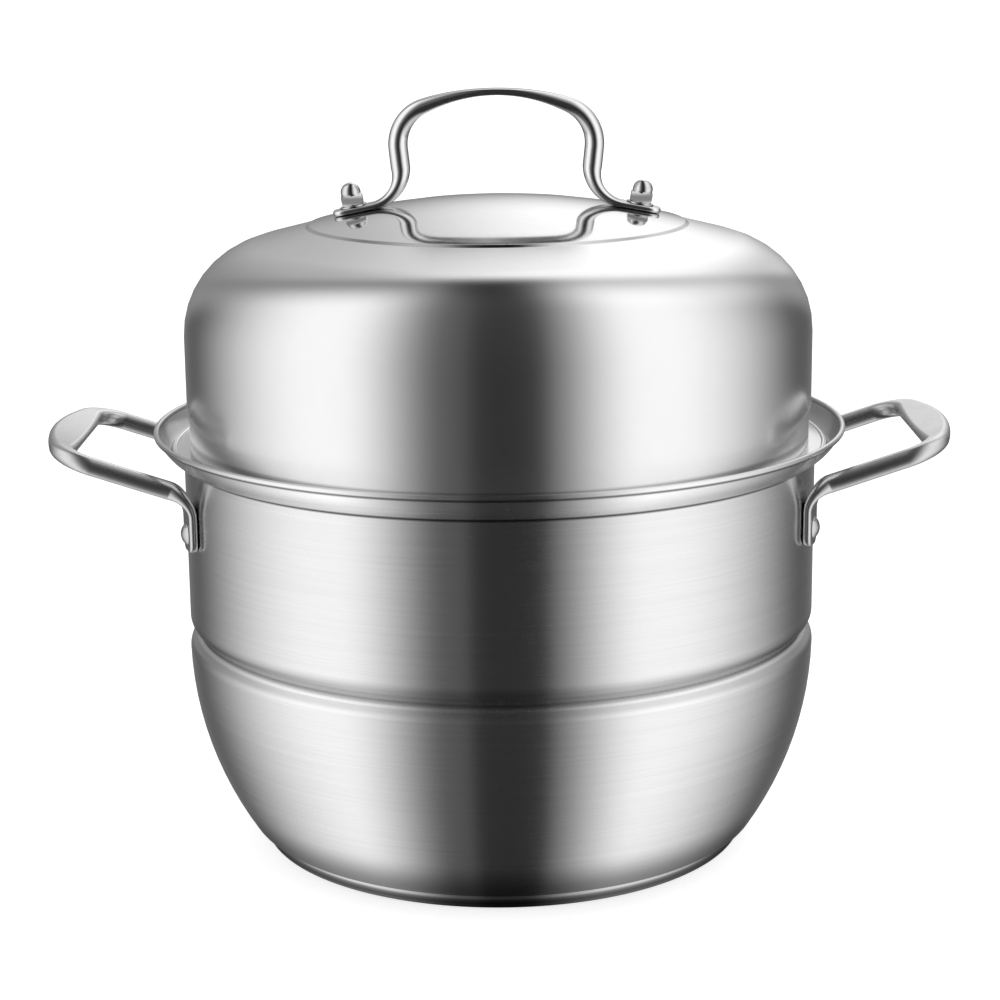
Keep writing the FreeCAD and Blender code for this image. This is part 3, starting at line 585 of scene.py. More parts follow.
def side_handle_stations():
    """Path of the right side handle: strap, bend, leg, corner and grip, and back the same way."""
    grip_centre = np.array([HANDLE_REACH, 0, GRIP_HEIGHT]) - LOOP_OUTWARD * GRIP_CURVE
    bow_end = LOOP_OUTWARD * math.cos(GRIP_BOW) + LOOP_SIDE * math.sin(GRIP_BOW)
    corner_centre = grip_centre + bow_end * (GRIP_CURVE - HANDLE_CORNER)
    share = np.linspace(0, 1, LOOP_STATIONS)
    corner_angle, grip_angle = share * (math.pi / 2 - GRIP_BOW), math.pi / 2 - GRIP_BOW * (1 - share)
    bend = handle_bend()
    corner = loop_arc(corner_centre, HANDLE_CORNER, corner_angle, share * CORNER_RUN)
    grip = loop_arc(grip_centre, GRIP_CURVE, grip_angle, CORNER_RUN + share * GRIP_RUN)
    leg = straight_run(bend, corner, LEG_STATIONS)
    return mirror_stations(join_runs([handle_strap(), bend, leg, corner, grip]), 1)


def upright_arc(centre, radius, angle, sizes, onward):
    """Stations on a circle in the lid handle's upright plane, heading round it one way or the other."""
    arm = np.stack([np.cos(angle), np.zeros_like(angle), np.sin(angle)], -1)
    heading = onward * np.stack([-arm[:, 2], arm[:, 1], arm[:, 0]], -1)
    facing = np.stack([heading[:, 2], heading[:, 1], -heading[:, 0]], -1)
    return (centre + arm * radius, np.cross(facing, heading), facing, *sizes)


def flattened(flat):
    """Width and thickness of the lid handle's tube, from its round leg at 0 to its flat arch at 1."""
    return blend(LID_LEG_WIDTH, ARCH_WIDTH, flat), blend(LID_LEG_THICK, ARCH_THICK, flat)


def lid_foot(bolt, outward, bend):
    """Flat foot of the lid handle, from its rounded end past the bolt to the bend."""
    reach = FOOT_END + (bolt - bend[0][0]) @ outward
    distance = np.linspace(0, 1, FOOT_STATIONS) ** 2 * reach
    centre = bolt + outward * (FOOT_END - distance)[:, None]
    sideways, facing = (np.tile(array[0], (FOOT_STATIONS, 1)) for array in bend[1:3])
    width, thick = ended(distance, FOOT_WIDTH, FOOT_CORNER), ended(distance, FOOT_THICK, FOOT_EDGE)
    return centre, sideways, facing, width, thick


def lid_handle_stations():
    """Path of the lid handle: in along the right foot, up the bend and leg, over the corner and the arch."""
    across = ARCH_HALF_SPAN - ARCH_CORNER
    rise = math.sqrt((ARCH_CURVE - ARCH_CORNER) ** 2 - across ** 2)
    arch_centre = np.array([0, 0, ARCH_TOP - ARCH_CURVE])
    corner_centre = arch_centre + np.array([across, 0, rise])
    leg_side = np.array([math.cos(LEG_LEAN), 0, -math.sin(LEG_LEAN)])
    above = np.array([math.sin(BOLT_TILT), 0, math.cos(BOLT_TILT)])
    outward = np.array([math.cos(BOLT_TILT), 0, -math.sin(BOLT_TILT)])
    bolt = np.array([BOLT_RADIUS, 0, BOLT_LEVEL]) + above * (CONTACT_GAP + FOOT_THICK / 2)
    # The foot bend touches the leg line and the foot line, so its centre is one bend radius from both.
    levels = [leg_side @ corner_centre + ARCH_CORNER + FOOT_BEND, above @ bolt + FOOT_BEND]
    x, z = np.linalg.solve([leg_side[[0, 2]], above[[0, 2]]], levels)
    share = np.linspace(0, 1, ARCH_STATIONS)
    corner_end = math.atan2(rise, across)
    bend_angle = blend(1.5 * math.pi - BOLT_TILT, math.pi - LEG_LEAN, share)
    bend_sizes = blend(FOOT_WIDTH, LID_LEG_WIDTH, share), blend(FOOT_THICK, LID_LEG_THICK, share)
    corner_sizes = flattened(CORNER_FLATNESS * share ** 2)
    arch_sizes = flattened(blend(CORNER_FLATNESS, 1.0, np.sin(share * math.pi / 2)))
    bend = upright_arc(np.array([x, 0, z]), FOOT_BEND, bend_angle, bend_sizes, -1)
    corner = upright_arc(corner_centre, ARCH_CORNER, blend(-LEG_LEAN, corner_end, share), corner_sizes, 1)
    arch = upright_arc(arch_centre, ARCH_CURVE, blend(corner_end, math.pi / 2, share), arch_sizes, 1)
    leg = straight_run(bend, corner, ARCH_STATIONS)
    return mirror_stations(join_runs([lid_foot(bolt, outward, bend), bend, leg, corner, arch]), 0)


def rivet_section():
    """Half section of a handle rivet along its own axis, from its flat tail inside to its domed head."""
    tail = math.sqrt(MOUTH ** 2 - RIVET_TAIL ** 2) - CONTACT_GAP
    head = ROOT_RADIUS + ROOT_THICK / 2 + CONTACT_GAP
    dome = (RIVET_HEAD ** 2 + RIVET_DOME ** 2) / (2 * RIVET_DOME)
    return outline([
        Corner(0, tail - RIVET_TAIL_THICK),
        Corner(RIVET_TAIL, tail - RIVET_TAIL_THICK, RIVET_ROUND),
        Corner(RIVET_TAIL, tail),
        Corner(RIVET_SHANK, tail),
        Corner(RIVET_SHANK, head),
        Corner(RIVET_HEAD, head, EDGE_ROUND, -dome),
        Corner(0, head + RIVET_DOME),
    ])


def washer_section():
    """Section of the flat ring under a cap nut."""
    return outline([
        Corner(BOLT_HOLE, WASHER_FACE),
        Corner(WASHER_RADIUS, WASHER_FACE),
        Corner(WASHER_RADIUS, WASHER_FACE + WASHER_THICK, WASHER_ROUND),
        Corner(BOLT_HOLE, WASHER_FACE + WASHER_THICK),
    ], closed=True)


def nut_mesh(name, place):
    """Cap nut: at angle a its radius is the lesser of a hexagon's and a turned profile's.

    The hexagon's radius is half the flats over the cosine of the angle to the nearest flat's middle. The
    profile runs from the blind bore round the foot, up the flats, over the chamfer and the dome.
    """
    hex_top, nut_top = NUT_FACE + NUT_HEX_HEIGHT, NUT_FACE + NUT_HEIGHT
    points, _ = outline([
        Corner(0, nut_top - NUT_CROWN),
        Corner(BOLT_HOLE, nut_top - NUT_CROWN),
        Corner(BOLT_HOLE, NUT_FACE),
        Corner(NUT_FOOT, NUT_FACE),
        Corner(NUT_CORNER, NUT_FACE + NUT_FOOT_BEVEL),
        Corner(NUT_CORNER, hex_top - NUT_TOP_BEVEL),
        Corner(NUT_DOME, hex_top, NUT_DOME_FOOT),
        Corner(NUT_DOME, nut_top, NUT_DOME_ROUND),
        Corner(0, nut_top),
    ])
    angle = round_angles(SMALL_SEGMENTS)
    from_flat = np.mod(angle + np.pi / 6, np.pi / 3) - np.pi / 6
    flats = NUT_FLATS / 2 / np.cos(from_flat)
    radius = np.minimum(points[1:-1, :1], flats)
    height = np.broadcast_to(points[1:-1, 1:], radius.shape)
    rings = np.stack([radius * np.cos(angle), radius * np.sin(angle), height], -1)
    poles = points[[0, -1], 1:] * np.array([[0, 0, 1.0]])
    vertices = np.concatenate([rings.reshape(-1, 3), poles])
    faces = grid_faces(len(radius), SMALL_SEGMENTS, False) + pole_faces(len(radius), SMALL_SEGMENTS)
    return sharp_mesh(name, placed(place, vertices), faces)


def circle(centre, radius, count):
    """Points around a circle in the plane."""
    angle = round_angles(count)
    return centre + radius * np.stack([np.cos(angle), np.sin(angle)], -1)


def hole_centres():
    """Steam holes around a middle one: each ring has six more than the ring inside it."""
    middle = np.zeros((1, 2))
    rings = [circle(middle, ring * HOLE_RING_STEP, 6 * ring) for ring in range(1, HOLE_RINGS + 1)]
    return np.concatenate([middle, *rings])


def holed_faces(flat, rings, centres):
    """Triangles between an outer ring of points and the rings of the holes inside it."""
    edges = np.concatenate([np.stack([ring, np.roll(ring, -1)], -1) for ring in rings])
    inside_rings, same_place = 1, 1e-7
    cut = delaunay_2d_cdt([Vector(point) for point in flat], edges.tolist(), [], inside_rings, same_place)
    source = np.array([points[0] for points in cut[3]])
    triangles = source[np.array(cut[2])]
    away = np.linalg.norm(flat[triangles].mean(1)[:, None] - centres, axis=-1)
    return triangles[away.min(1) > STEAM_HOLE / 2]


def band_faces(upper, lower):
    """Quads between rings of vertices, facing away from the rings' middle."""
    corners = [upper, lower, np.roll(lower, -1, -1), np.roll(upper, -1, -1)]
    return np.stack(corners, -1).reshape(-1, 4).tolist()


def plate_mesh(name, node):
    """Steam plate: a disc between two levels, with round holes through it and a rolled bead along its edge.

    A point of the bead at angle a lies at the bead's radius plus its roll times cos a, and at the middle
    level plus its roll times sin a. The bead runs from the disc's upper face round to its lower one. Each
    hole's wall joins its circle on the upper face to the one on the lower face.
    """
    low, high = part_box(node)
    radius, level = high.x - PLATE_BEAD, (low.z + high.z) / 2
    meeting = math.pi - math.asin(PLATE_SHEET / 2 / PLATE_BEAD)
    roll = np.linspace(meeting, -meeting, BEAD_STEPS + 1)[1:-1]
    across, up = radius + PLATE_BEAD * np.cos(roll), level + PLATE_BEAD * np.sin(roll)
    bead = spun(across, up, round_angles(SEGMENTS))
    centres = hole_centres()
    edge = circle(np.zeros(2), radius + PLATE_BEAD * math.cos(meeting), SEGMENTS)
    flat = np.concatenate([edge] + [circle(centre, STEAM_HOLE / 2, HOLE_SEGMENTS) for centre in centres])
    count = len(flat)
    sides = [np.column_stack([flat, np.full(count, level + side * PLATE_SHEET / 2)]) for side in (1, -1)]
    rim, holes = np.arange(SEGMENTS)[None], np.arange(SEGMENTS, count).reshape(-1, HOLE_SEGMENTS)
    bead_rows = 2 * count + np.arange(len(bead)).reshape(-1, SEGMENTS)
    rows = np.concatenate([rim, bead_rows, rim + count])
    triangles = holed_faces(flat, [*rim, *holes], centres)
    faces = triangles.tolist() + (triangles[:, ::-1] + count).tolist()
    faces += band_faces(holes + count, holes) + band_faces(rows[:-1], rows[1:])
    return sharp_mesh(name, np.concatenate([*sides, bead]), faces)


def add_node(tree, kind, inputs=None, **settings):
    """Place a node, set its options, and give its sockets values or links."""
    node = tree.nodes.new(kind)
    for option, choice in settings.items():
        setattr(node, option, choice)
    for socket, source in (inputs or {}).items():
        if isinstance(source, bpy.types.NodeSocket):
            tree.links.new(source, node.inputs[socket])
        else:
            node.inputs[socket].default_value = source
    return node


def calculate(tree, operation, *terms):
    return add_node(tree, "ShaderNodeMath", dict(enumerate(terms)), operation=operation).outputs[0]


def multiply(tree, first, second):
    return calculate(tree, "MULTIPLY", first, second)


def ramp(tree, value, low, high, start=0.0, end=1.0):
    """Smooth step of a value, from start at low to end at high."""
    limits = {"Value": value, "From Min": low, "From Max": high, "To Min": start, "To Max": end}
    return add_node(tree, "ShaderNodeMapRange", limits, interpolation_type="SMOOTHSTEP").outputs["Result"]


def new_group(name, inputs, outputs):
    """Empty shader node group with float inputs, given with their defaults, and float outputs."""
    group = bpy.data.node_groups.new(name, "ShaderNodeTree")
    kind = "NodeSocketFloat"
    for label, default in inputs.items():
        socket = group.interface.new_socket(label, in_out="INPUT", socket_type=kind)
        socket.default_value = default
    for label in outputs:
        group.interface.new_socket(label, in_out="OUTPUT", socket_type=kind)
    entry = add_node(group, "NodeGroupInput")
    return group, entry.outputs, add_node(group, "NodeGroupOutput").inputs


def brush_marks():
    """Lines left by brushing round the upright axis: noise stretched far along it, fine and coarse."""
    group, given, result = new_group("brush_marks", {"Fineness": 1.0}, ["Tone", "Height"])
    place = add_node(group, "ShaderNodeTexCoord").outputs["Object"]

    def lines(along_scale, across_scale, detail):
        across = multiply(group, given["Fineness"], across_scale)
        scales = {"X": along_scale, "Y": along_scale, "Z": across}
        stretch = add_node(group, "ShaderNodeCombineXYZ", scales).outputs[0]
        point = add_node(group, "ShaderNodeVectorMath", {0: place, 1: stretch}, operation="MULTIPLY")
        noise = {"Vector": point.outputs[0], "Scale": 1.0, "Detail": detail, "Roughness": 0.6}
        return add_node(group, "ShaderNodeTexNoise", noise).outputs["Fac"]

    fine = lines(along_scale=14.0, across_scale=1900.0, detail=3.0)
    coarse = lines(along_scale=7.0, across_scale=420.0, detail=2.0)
    tone = calculate(group, "MULTIPLY_ADD", coarse, 0.45, multiply(group, fine, 0.55))
    group.links.new(tone, result["Tone"])
    group.links.new(fine, result["Height"])
    return group


def painted_light_lines(name, lines):
    """Painted shade and highlight lines round a piece, each with its height, half width and depth: a positive
    depth paints a band of shade, a negative one a band of highlight.
    """
    group, given, result = new_group(name, {"Strength": 1.0}, ["Shade"])
    place = add_node(group, "ShaderNodeTexCoord").outputs["Object"]
    height = add_node(group, "ShaderNodeSeparateXYZ", {0: place}).outputs["Z"]
    full_share, painted_sum = 0.2, 0.0
    for level, half_width, depth in lines:
        off = calculate(group, "ABSOLUTE", calculate(group, "SUBTRACT", height, level))
        painted_band = ramp(group, off, half_width * full_share, half_width, depth, 0.0)
        painted_sum = calculate(group, "ADD", painted_band, painted_sum)
    group.links.new(multiply(group, painted_sum, given["Strength"]), result["Shade"])
    return group


def handling_marks():
    """Faint cloudy smears and short wipe marks of use and washing."""
    group, given, result = new_group("handling_marks", {"Size": 1.0}, ["Smear"])
    place = add_node(group, "ShaderNodeTexCoord").outputs["Object"]
    cloud_scale = calculate(group, "DIVIDE", 18.0, given["Size"])
    wipe_scale = calculate(group, "DIVIDE", 95.0, given["Size"])
    clouds = {"Vector": place, "Scale": cloud_scale, "Detail": 4.0}
    wipes = {"Vector": place, "Scale": wipe_scale, "Detail": 2.0, "Distortion": 1.5}
    cloud, wipe = (add_node(group, "ShaderNodeTexNoise", marks).outputs["Fac"] for marks in (clouds, wipes))
    group.links.new(ramp(group, multiply(group, cloud, wipe), 0.12, 0.42), result["Smear"])
    return group


BRUSHING = brush_marks()
HANDLING = handling_marks()
# Painted shade and painted highlights on the pot, one band per height. Shade falls towards the bottom of the
# bowl, under the shoulder, in the waist groove, over the foot of the upper wall, in the crease under the
# flare and below the rim's bead. Highlights run along the shoulder below the groove and over the flare.
POT_PAINTED_LIGHT = painted_light_lines("pot_painted_light", [
    (BASE_HEIGHT - 0.002, 0.025, 0.70),
    (WAIST_HEIGHT - 0.0058, 0.0012, -0.08),
    (WAIST_HEIGHT - 0.0035, 0.0016, 0.10),
    (WAIST_HEIGHT - 0.0016, 0.0009, -0.30),
    (WAIST_HEIGHT, 0.0011, 0.45),
    (WAIST_HEIGHT + 0.0045, 0.0062, 0.38),
    (CREASE_HEIGHT + 0.0004, 0.0015, 0.95),
    (CREASE_HEIGHT + 0.0066, 0.0085, -0.26),
    (RIM_HEIGHT - RIM_BEAD, 0.0012, 0.90),
])
# Painted highlight along the base cap's top edge, and painted shade on a band below it and at its foot on the
# floor.
BASE_PAINTED_LIGHT = painted_light_lines("base_painted_light", [
    (BASE_HEIGHT - 0.0012, 0.0016, -1.5),
    (BASE_HEIGHT - 0.0038, 0.0016, 0.40),
    (0.0, 0.0045, 0.60),
])
# Painted shade: a dark band on the lid's foot just above the pot's rim.
LID_PAINTED_SHADE = painted_light_lines("lid_painted_shade", [(RIM_HEIGHT - 0.0032, 0.0024, 0.50)])
# Painted shade over the cap nuts' hexagon flats.
NUT_PAINTED_SHADE = painted_light_lines("nut_painted_shade", [(BOLT_LEVEL + NUT_FACE + NUT_HEX_HEIGHT * 0.4, 0.0036, 0.72)])


def new_material(name):
    """Material with its node tree and its surface node."""
    material = bpy.data.materials.new(name)
    material.use_nodes = True
    tree = material.node_tree
    return material, tree, tree.nodes["Principled BSDF"]


def spread(tree, tone, low, high):
    """Value that goes from low to high with a tone."""
    limits = {"Value": tone, "To Min": low, "To Max": high}
    return add_node(tree, "ShaderNodeMapRange", limits).outputs["Result"]


def greyed(tree, tone, low, high):
    """Grey colour that goes from low to high with a tone."""
    grey = spread(tree, tone, low, high)
    return add_node(tree, "ShaderNodeCombineColor", {"Red": grey, "Green": grey, "Blue": grey}).outputs[0]


def shaded(tree, lines, greys):
    """Greys darkened by a piece's painted shade lines and brightened by its painted highlight lines."""
    shade = add_node(tree, "ShaderNodeGroup", node_tree=lines).outputs["Shade"]
    left = calculate(tree, "SUBTRACT", 1.0, shade)
    return [multiply(tree, left, grey) for grey in greys]


def smears(tree, size):
    """Handling marks of a given size."""
    marks = add_node(tree, "ShaderNodeGroup", {"Size": size}, node_tree=HANDLING)
    return marks.outputs["Smear"]


def bumped(tree, surface, height, strength):
    """Let a height roughen the surface's normal."""
    heights = {"Height": height, "Strength": strength, "Distance": 0.0002}
    bump = add_node(tree, "ShaderNodeBump", heights).outputs["Normal"]
    tree.links.new(bump, surface.inputs["Normal"])


def brushed_steel(name, grey, roughness, anisotropy, lines):
    """Stainless sheet brushed round its axis, so that its highlights run upright, with the piece's painted
    shade and highlight lines in its grey.
    """
    material, tree, surface = new_material(name)
    brush = add_node(tree, "ShaderNodeGroup", node_tree=BRUSHING).outputs
    grey_swing, rough_swing, smear_depth = 0.09, 0.05, 0.02
    # The grey carries the piece's painted shade and painted highlight lines.
    low, high = shaded(tree, lines, (grey - grey_swing, grey + grey_swing))
    tree.links.new(greyed(tree, brush["Tone"], low, high), surface.inputs["Base Color"])
    plain = spread(tree, brush["Tone"], roughness - rough_swing, roughness + rough_swing)
    rough = calculate(tree, "MULTIPLY_ADD", smears(tree, 1.0), smear_depth, plain)
    tree.links.new(rough, surface.inputs["Roughness"])
    bumped(tree, surface, brush["Height"], strength=0.04)
    surface.inputs["Metallic"].default_value = 1.0
    surface.inputs["Anisotropic"].default_value = anisotropy
    surface.inputs["Anisotropic Rotation"].default_value = 0.25
    tangent = add_node(tree, "ShaderNodeTangent", direction_type="UV_MAP", uv_map="around")
    tree.links.new(tangent.outputs["Tangent"], surface.inputs["Tangent"])
    return material


def smooth_steel(name, grey, roughness, smear_size=1.0, smear_depth=0.03, lines=None):
    """Stainless steel with no brush lines: satin or polished by its roughness, with faint handling marks, and
    painted shade lines in its grey where they are given.
    """
    material, tree, surface = new_material(name)
    smear = smears(tree, smear_size)
    greys = (grey, grey - smear_depth)
    # Painted shade lines, where they are given, darken the grey.
    low, high = shaded(tree, lines, greys) if lines else greys
    tree.links.new(greyed(tree, smear, low, high), surface.inputs["Base Color"])
    rough = calculate(tree, "MULTIPLY_ADD", smear, smear_depth, roughness)
    tree.links.new(rough, surface.inputs["Roughness"])
    surface.inputs["Metallic"].default_value = 1.0
    return material


def cast_aluminium():
    """Dull aluminium of the base disc, with a fine grain."""
    material, tree, surface = new_material("cast_aluminium")
    place = add_node(tree, "ShaderNodeTexCoord").outputs["Object"]
    noise = {"Vector": place, "Scale": 900.0, "Detail": 3.0}
    grain = add_node(tree, "ShaderNodeTexNoise", noise).outputs["Fac"]
    tree.links.new(greyed(tree, grain, 0.66, 0.80), surface.inputs["Base Color"])
    bumped(tree, surface, grain, strength=0.2)
    surface.inputs["Metallic"].default_value = 1.0
    surface.inputs["Roughness"].default_value = 0.42
    return material


def silicone():
    """Milky silicone of the sealing washers, slightly mottled."""
    material, tree, surface = new_material("silicone")
    smear = smears(tree, 0.1)
    tree.links.new(greyed(tree, smear, 0.78, 0.84), surface.inputs["Base Color"])
    rough = calculate(tree, "MULTIPLY_ADD", smear, 0.1, 0.45)
    tree.links.new(rough, surface.inputs["Roughness"])
    return material


POT_STEEL = brushed_steel("brushed_pot_steel", 0.70, 0.25, 0.85, POT_PAINTED_LIGHT)
# Painted shade: the base cap's very dark grey stands in for the dark floor reflection and shade low on the
# pot.
BASE_STEEL = brushed_steel("painted_shade_base_steel", 0.21, 0.25, 0.7, BASE_PAINTED_LIGHT)
INSIDE_STEEL = smooth_steel("satin_inside_steel", 0.50, 0.16)
LID_STEEL = smooth_steel("satin_lid_steel", 0.73, 0.20, smear_depth=0.008, lines=LID_PAINTED_SHADE)
CAP_STEEL = smooth_steel("polished_cap_steel", 0.68, 0.07, smear_depth=0.02)
HANDLE_STEEL = smooth_steel("polished_handle_steel", 0.74, 0.13, smear_size=0.3)
GRIP_STEEL = smooth_steel("satin_grip_steel", 0.60, 0.27, smear_size=0.3)
FASTENER_STEEL = smooth_steel("polished_fastener_steel", 0.52, 0.09, smear_size=0.15)
NUT_STEEL = smooth_steel("polished_nut_steel", 0.62, 0.09, smear_size=0.15, lines=NUT_PAINTED_SHADE)
PLATE_STEEL = smooth_steel("satin_plate_steel", 0.72, 0.18)
ALUMINIUM = cast_aluminium()
SILICONE = silicone()


def add_piece(mesh, body, slot, node, *materials):
    """Show a mesh in place of a CAD node, riding on that node's body."""
    piece = bpy.data.objects.new(mesh.name, mesh)
    bpy.context.scene.collection.objects.link(piece)
    for material in materials:
        mesh.materials.append(material)
    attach(piece, body)
    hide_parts(node)


def face_values(mesh, name):
    """Vector of each face, such as its centre or its normal."""
    values = np.empty(len(mesh.polygons) * 3, np.float32)
    mesh.polygons.foreach_get(name, values)
    return values.reshape(-1, 3)


def dress_pot():
    """Pot brushed outside and satin inside, and the base cap."""
    pot = turned_mesh("drawn_pot", pot_section())
    centres, facing = face_values(pot, "center"), face_values(pot, "normal")
    inward = (centres[:, :2] * facing[:, :2]).sum(1) < -1e-6
    floor = (facing[:, 2] > NEARLY_ALONG) & (centres[:, 2] < WAIST_HEIGHT)
    add_piece(pot, "pot", "brushed_sheet", "pot_body", POT_STEEL, INSIDE_STEEL)
    pot.polygons.foreach_set("material_index", (inward | floor).astype(np.int32))
    base = turned_mesh("pressed_base", base_section())
    add_piece(base, "pot", "brushed_sheet", "base_cap", BASE_STEEL)


def dress_lid():
    """Satin lid whose raised cap is polished."""
    lid = turned_mesh("pressed_lid", straight_neck(*lid_section()))
    x, y, z = face_values(lid, "center").T
    on_cap = (np.hypot(x, y) < CAP_RADIUS + EDGE_ROUND) & (z > CAP_LEVEL)
    add_piece(lid, "lid", "brushed_sheet", "lid_shell", LID_STEEL, CAP_STEEL)
    lid.polygons.foreach_set("material_index", on_cap.astype(np.int32))


def dress_handles():
    """Loop handles, the left one the right one turned half round, and the lid's arch."""
    right = side_handle_stations()
    half_turn = np.array([-1.0, -1.0, 1.0])
    left = tuple(array * half_turn if array.ndim > 1 else array for array in right)
    for side, stations in (("right", right), ("left", left)):
        loop = swept_mesh(side + "_loop_handle", *stations)
        add_piece(loop, "pot", "polished_steel", side + "_side_handle", GRIP_STEEL)
    arch = swept_mesh("arch_handle", *lid_handle_stations())
    add_piece(arch, "lid", "polished_steel", "lid_handle", HANDLE_STEEL)


def dress_rivets():
    """One rivet square to the pot's wall in each handle root."""
    azimuths = {"right_rear": RIVET_AZIMUTH, "right_front": -RIVET_AZIMUTH,
                "left_front": math.pi + RIVET_AZIMUTH, "left_rear": math.pi - RIVET_AZIMUTH}
    for corner, azimuth in azimuths.items():
        outward = Matrix.Rotation(azimuth, 4, "Z") @ Matrix.Rotation(math.pi / 2, 4, "Y")
        place = Matrix.Translation((0, 0, RIVET_HEIGHT)) @ outward
        rivet = turned_mesh(corner + "_domed_rivet", rivet_section(), SMALL_SEGMENTS, place)
        add_piece(rivet, "pot", "polished_steel", corner + "_rivet", FASTENER_STEEL)


def dress_fasteners():
    """Washer and cap nut on each foot of the lid handle, square to the cap."""
    place = Matrix.Translation((BOLT_RADIUS, 0, BOLT_LEVEL)) @ Matrix.Rotation(BOLT_TILT, 4, "Y")
    for side, spin in (("right", 0.0), ("left", math.pi)):
        bolt = Matrix.Rotation(spin, 4, "Z") @ place
        ring = turned_mesh(side + "_flat_washer", washer_section(), SMALL_SEGMENTS, bolt, closed=True)
        add_piece(ring, "lid", "polished_steel", side + "_nut_washer", FASTENER_STEEL)
        nut = nut_mesh(side + "_domed_nut", bolt)
        add_piece(nut, "lid", "polished_steel", side + "_cap_nut", NUT_STEEL)


def dress_plates():
    """Both steam plates."""
    for tier in ("lower", "upper"):
        node = tier + "_steam_plate"
        plate = plate_mesh(tier + "_punched_plate", node)
        add_piece(plate, tier + "_plate", "brushed_sheet", node, PLATE_STEEL)


def dress_nodes():
    """Finishes of the CAD nodes that keep their own shape."""
    finishes = {"base_core": ALUMINIUM}
    for side in ("left", "right"):
        finishes[side + "_lid_screw"] = FASTENER_STEEL
        finishes[side + "_sealing_washer"] = SILICONE
    for node, material in finishes.items():
        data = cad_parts[node].data
        data.materials.clear()
        data.materials.append(material)


def upright_bands(tree, turn, rise):
    """Dark strip in front between two bright panels, which narrow and dim towards the ground.

    Turns and rises are in degrees, and each band has the two angles between which it starts or ends.
    """
    off_strip = calculate(tree, "ABSOLUTE", calculate(tree, "ADD", turn, 1.5))
    off_core = calculate(tree, "ABSOLUTE", calculate(tree, "SUBTRACT", turn, 1.6))
    narrowed = calculate(tree, "ADD", off_strip, ramp(tree, rise, -24.0, 2.0, 8.0, 0.0))
    inner_edge = ramp(tree, off_strip, 8.0, 28.0, 0.0, 1.2)
    outer_edge = ramp(tree, narrowed, 33.0, 72.0, 1.0, 0.0)
    strip_light = ramp(tree, off_core, 6.4, 7.6, 0.035, 0.12)
    bands = calculate(tree, "ADD", multiply(tree, inner_edge, outer_edge), strip_light)
    dimmed = multiply(tree, bands, ramp(tree, rise, -45.0, -26.0, 0.62, 1.0))
    return multiply(tree, dimmed, ramp(tree, rise, -68.0, -60.0, 0.1, 1.0))


def stepped_ceiling(tree, turn, layer, across):
    """Ceiling that brightens to the right, with a dimmer step below it on both sides of the strip."""
    middle = ramp(tree, across, -0.3, 0.15, 0.58, 1.4)
    left = multiply(tree, middle, ramp(tree, across, -0.8, -0.25, 0.5, 1.0))
    level = multiply(tree, left, ramp(tree, across, 0.3, 0.62, 1.0, 0.55))
    ceiling = multiply(tree, level, ramp(tree, layer, 64.5, 72.5))
    left_step = ramp(tree, turn, -20.0, -6.0, 0.28, 0.0)
    right_edge = ramp(tree, turn, 4.0, 22.0, 0.0, 0.7)
    right_step = multiply(tree, right_edge, ramp(tree, turn, 50.0, 70.0, 1.0, 0.5))
    step = calculate(tree, "ADD", left_step, right_step)
    span = multiply(tree, ramp(tree, layer, 44.0, 60.0), ramp(tree, layer, 64.0, 73.0, 1.0, 0.0))
    return calculate(tree, "MULTIPLY_ADD", step, span, ceiling)


def mirrored_light(tree):
    """Light from each direction, laid out by the normal of the surface that mirrors it to the camera.

    That normal lies halfway between the direction of the light and the way back to the camera. Its turn
    about the upright axis sets the upright bands, a dark strip in front between two bright panels. Its rise
    sets the layers, dim below and a ceiling above that brightens to the right. The layers lie higher
    towards the sides. Straight behind the piece the light is even.
    """
    even_light, side_lift = 0.24, 34.0
    way = add_node(tree, "ShaderNodeTexCoord").outputs["Generated"]
    view = (0, math.cos(CAMERA_DROP), -math.sin(CAMERA_DROP))
    between = add_node(tree, "ShaderNodeVectorMath", {0: way, 1: view}, operation="SUBTRACT").outputs[0]
    normal = add_node(tree, "ShaderNodeVectorMath", {0: between}, operation="NORMALIZE").outputs[0]
    x, y, z = add_node(tree, "ShaderNodeSeparateXYZ", {0: normal}).outputs
    angle = calculate(tree, "ARCTAN2", x, multiply(tree, y, -1.0))
    turn = calculate(tree, "DEGREES", angle)
    rise = calculate(tree, "DEGREES", calculate(tree, "ARCSINE", z))
    sideways = calculate(tree, "SUBTRACT", 1.0, calculate(tree, "COSINE", angle))
    layer = calculate(tree, "MULTIPLY_ADD", sideways, side_lift, rise)
    bands = multiply(tree, upright_bands(tree, turn, rise), ramp(tree, layer, 46.0, 66.0, 1.0, 0.0))
    laid_out = calculate(tree, "ADD", bands, stepped_ceiling(tree, turn, layer, x))
    length = add_node(tree, "ShaderNodeVectorMath", {0: between}, operation="LENGTH").outputs["Value"]
    shares = {"Factor": ramp(tree, length, 0.15, 0.6), "A": even_light, "B": laid_out}
    return add_node(tree, "ShaderNodeMix", shares).outputs["Result"]


def studio_light(scene):
    """Studio all round the piece, and plain white behind it for the camera."""
    world = bpy.data.worlds.new("studio")
    scene.world = world
    world.use_nodes = True
    tree = world.node_tree
    tree.nodes.clear()
    white = (1, 1, 1, 1)
    studio, backdrop = (
        add_node(tree, "ShaderNodeBackground", {"Color": white, "Strength": strength}).outputs[0]
        for strength in (mirrored_light(tree), 1.0)
    )
    seen = add_node(tree, "ShaderNodeLightPath").outputs["Is Camera Ray"]
    mixed = add_node(tree, "ShaderNodeMixShader", {0: seen, 1: studio, 2: backdrop})
    add_node(tree, "ShaderNodeOutputWorld", {"Surface": mixed.outputs[0]})


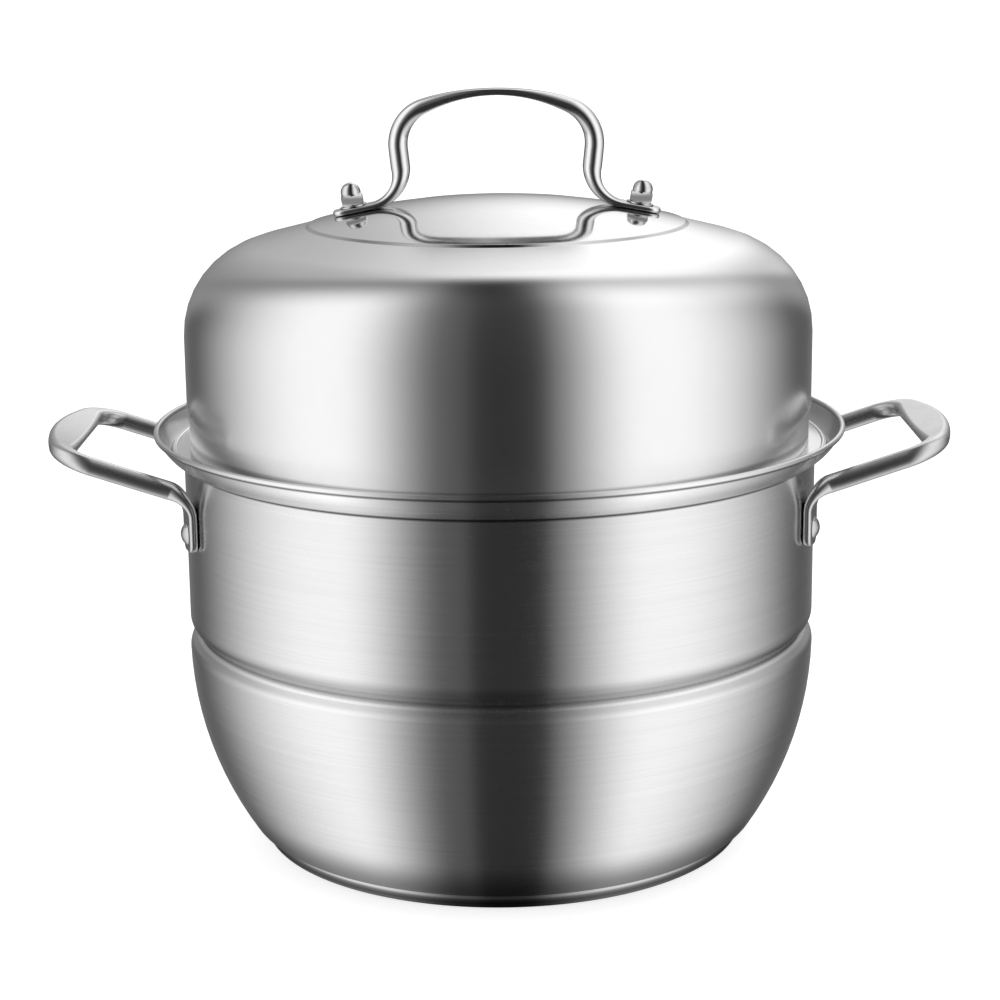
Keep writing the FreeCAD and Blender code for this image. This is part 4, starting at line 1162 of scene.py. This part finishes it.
def white_floor(scene):
    """Plain white floor: it glows a little for the camera, so that only the contact shadow shows."""
    reach, glow_strength, paint_grey = 40.0, 0.72, 0.8
    mesh = bpy.data.meshes.new("floor")
    corners = [(-reach, -reach, 0), (reach, -reach, 0), (reach, reach, 0), (-reach, reach, 0)]
    mesh.from_pydata(corners, [], [(0, 1, 2, 3)])
    floor = bpy.data.objects.new("floor", mesh)
    scene.collection.objects.link(floor)
    material = bpy.data.materials.new("white_floor")
    material.use_nodes = True
    tree = material.node_tree
    tree.nodes.clear()
    seen = add_node(tree, "ShaderNodeLightPath").outputs["Is Camera Ray"]
    glow = add_node(tree, "ShaderNodeEmission", {"Strength": multiply(tree, seen, glow_strength)})
    paint = add_node(tree, "ShaderNodeBsdfDiffuse", {"Color": (paint_grey, paint_grey, paint_grey, 1)})
    both = add_node(tree, "ShaderNodeAddShader", {0: paint.outputs[0], 1: glow.outputs[0]})
    add_node(tree, "ShaderNodeOutputMaterial", {"Surface": both.outputs[0]})
    mesh.materials.append(material)
    floor.visible_glossy = False


def photo_camera(scene):
    """Camera in front and a little above, levelled to the photograph's slight roll."""
    back = Vector((0, -math.cos(CAMERA_DROP), math.sin(CAMERA_DROP)))
    upward = Vector((0, math.sin(CAMERA_DROP), math.cos(CAMERA_DROP)))
    right = Vector((1, 0, 0))
    camera = bpy.data.objects.new("camera", bpy.data.cameras.new("camera"))
    camera.data.sensor_width = 36.0
    camera.data.lens = 86.04
    across = right * math.cos(CAMERA_ROLL) - upward * math.sin(CAMERA_ROLL)
    over = right * math.sin(CAMERA_ROLL) + upward * math.cos(CAMERA_ROLL)
    turn = Matrix((across, over, back)).transposed().to_4x4()
    camera.matrix_world = Matrix.Translation(CAMERA_TARGET + back * CAMERA_DISTANCE) @ turn
    scene.collection.objects.link(camera)
    scene.camera = camera


dress_pot()
dress_lid()
dress_handles()
dress_rivets()
dress_fasteners()
dress_plates()
dress_nodes()
scene = bpy.context.scene
studio_light(scene)
white_floor(scene)
photo_camera(scene)
scene.view_settings.view_transform = "Standard"
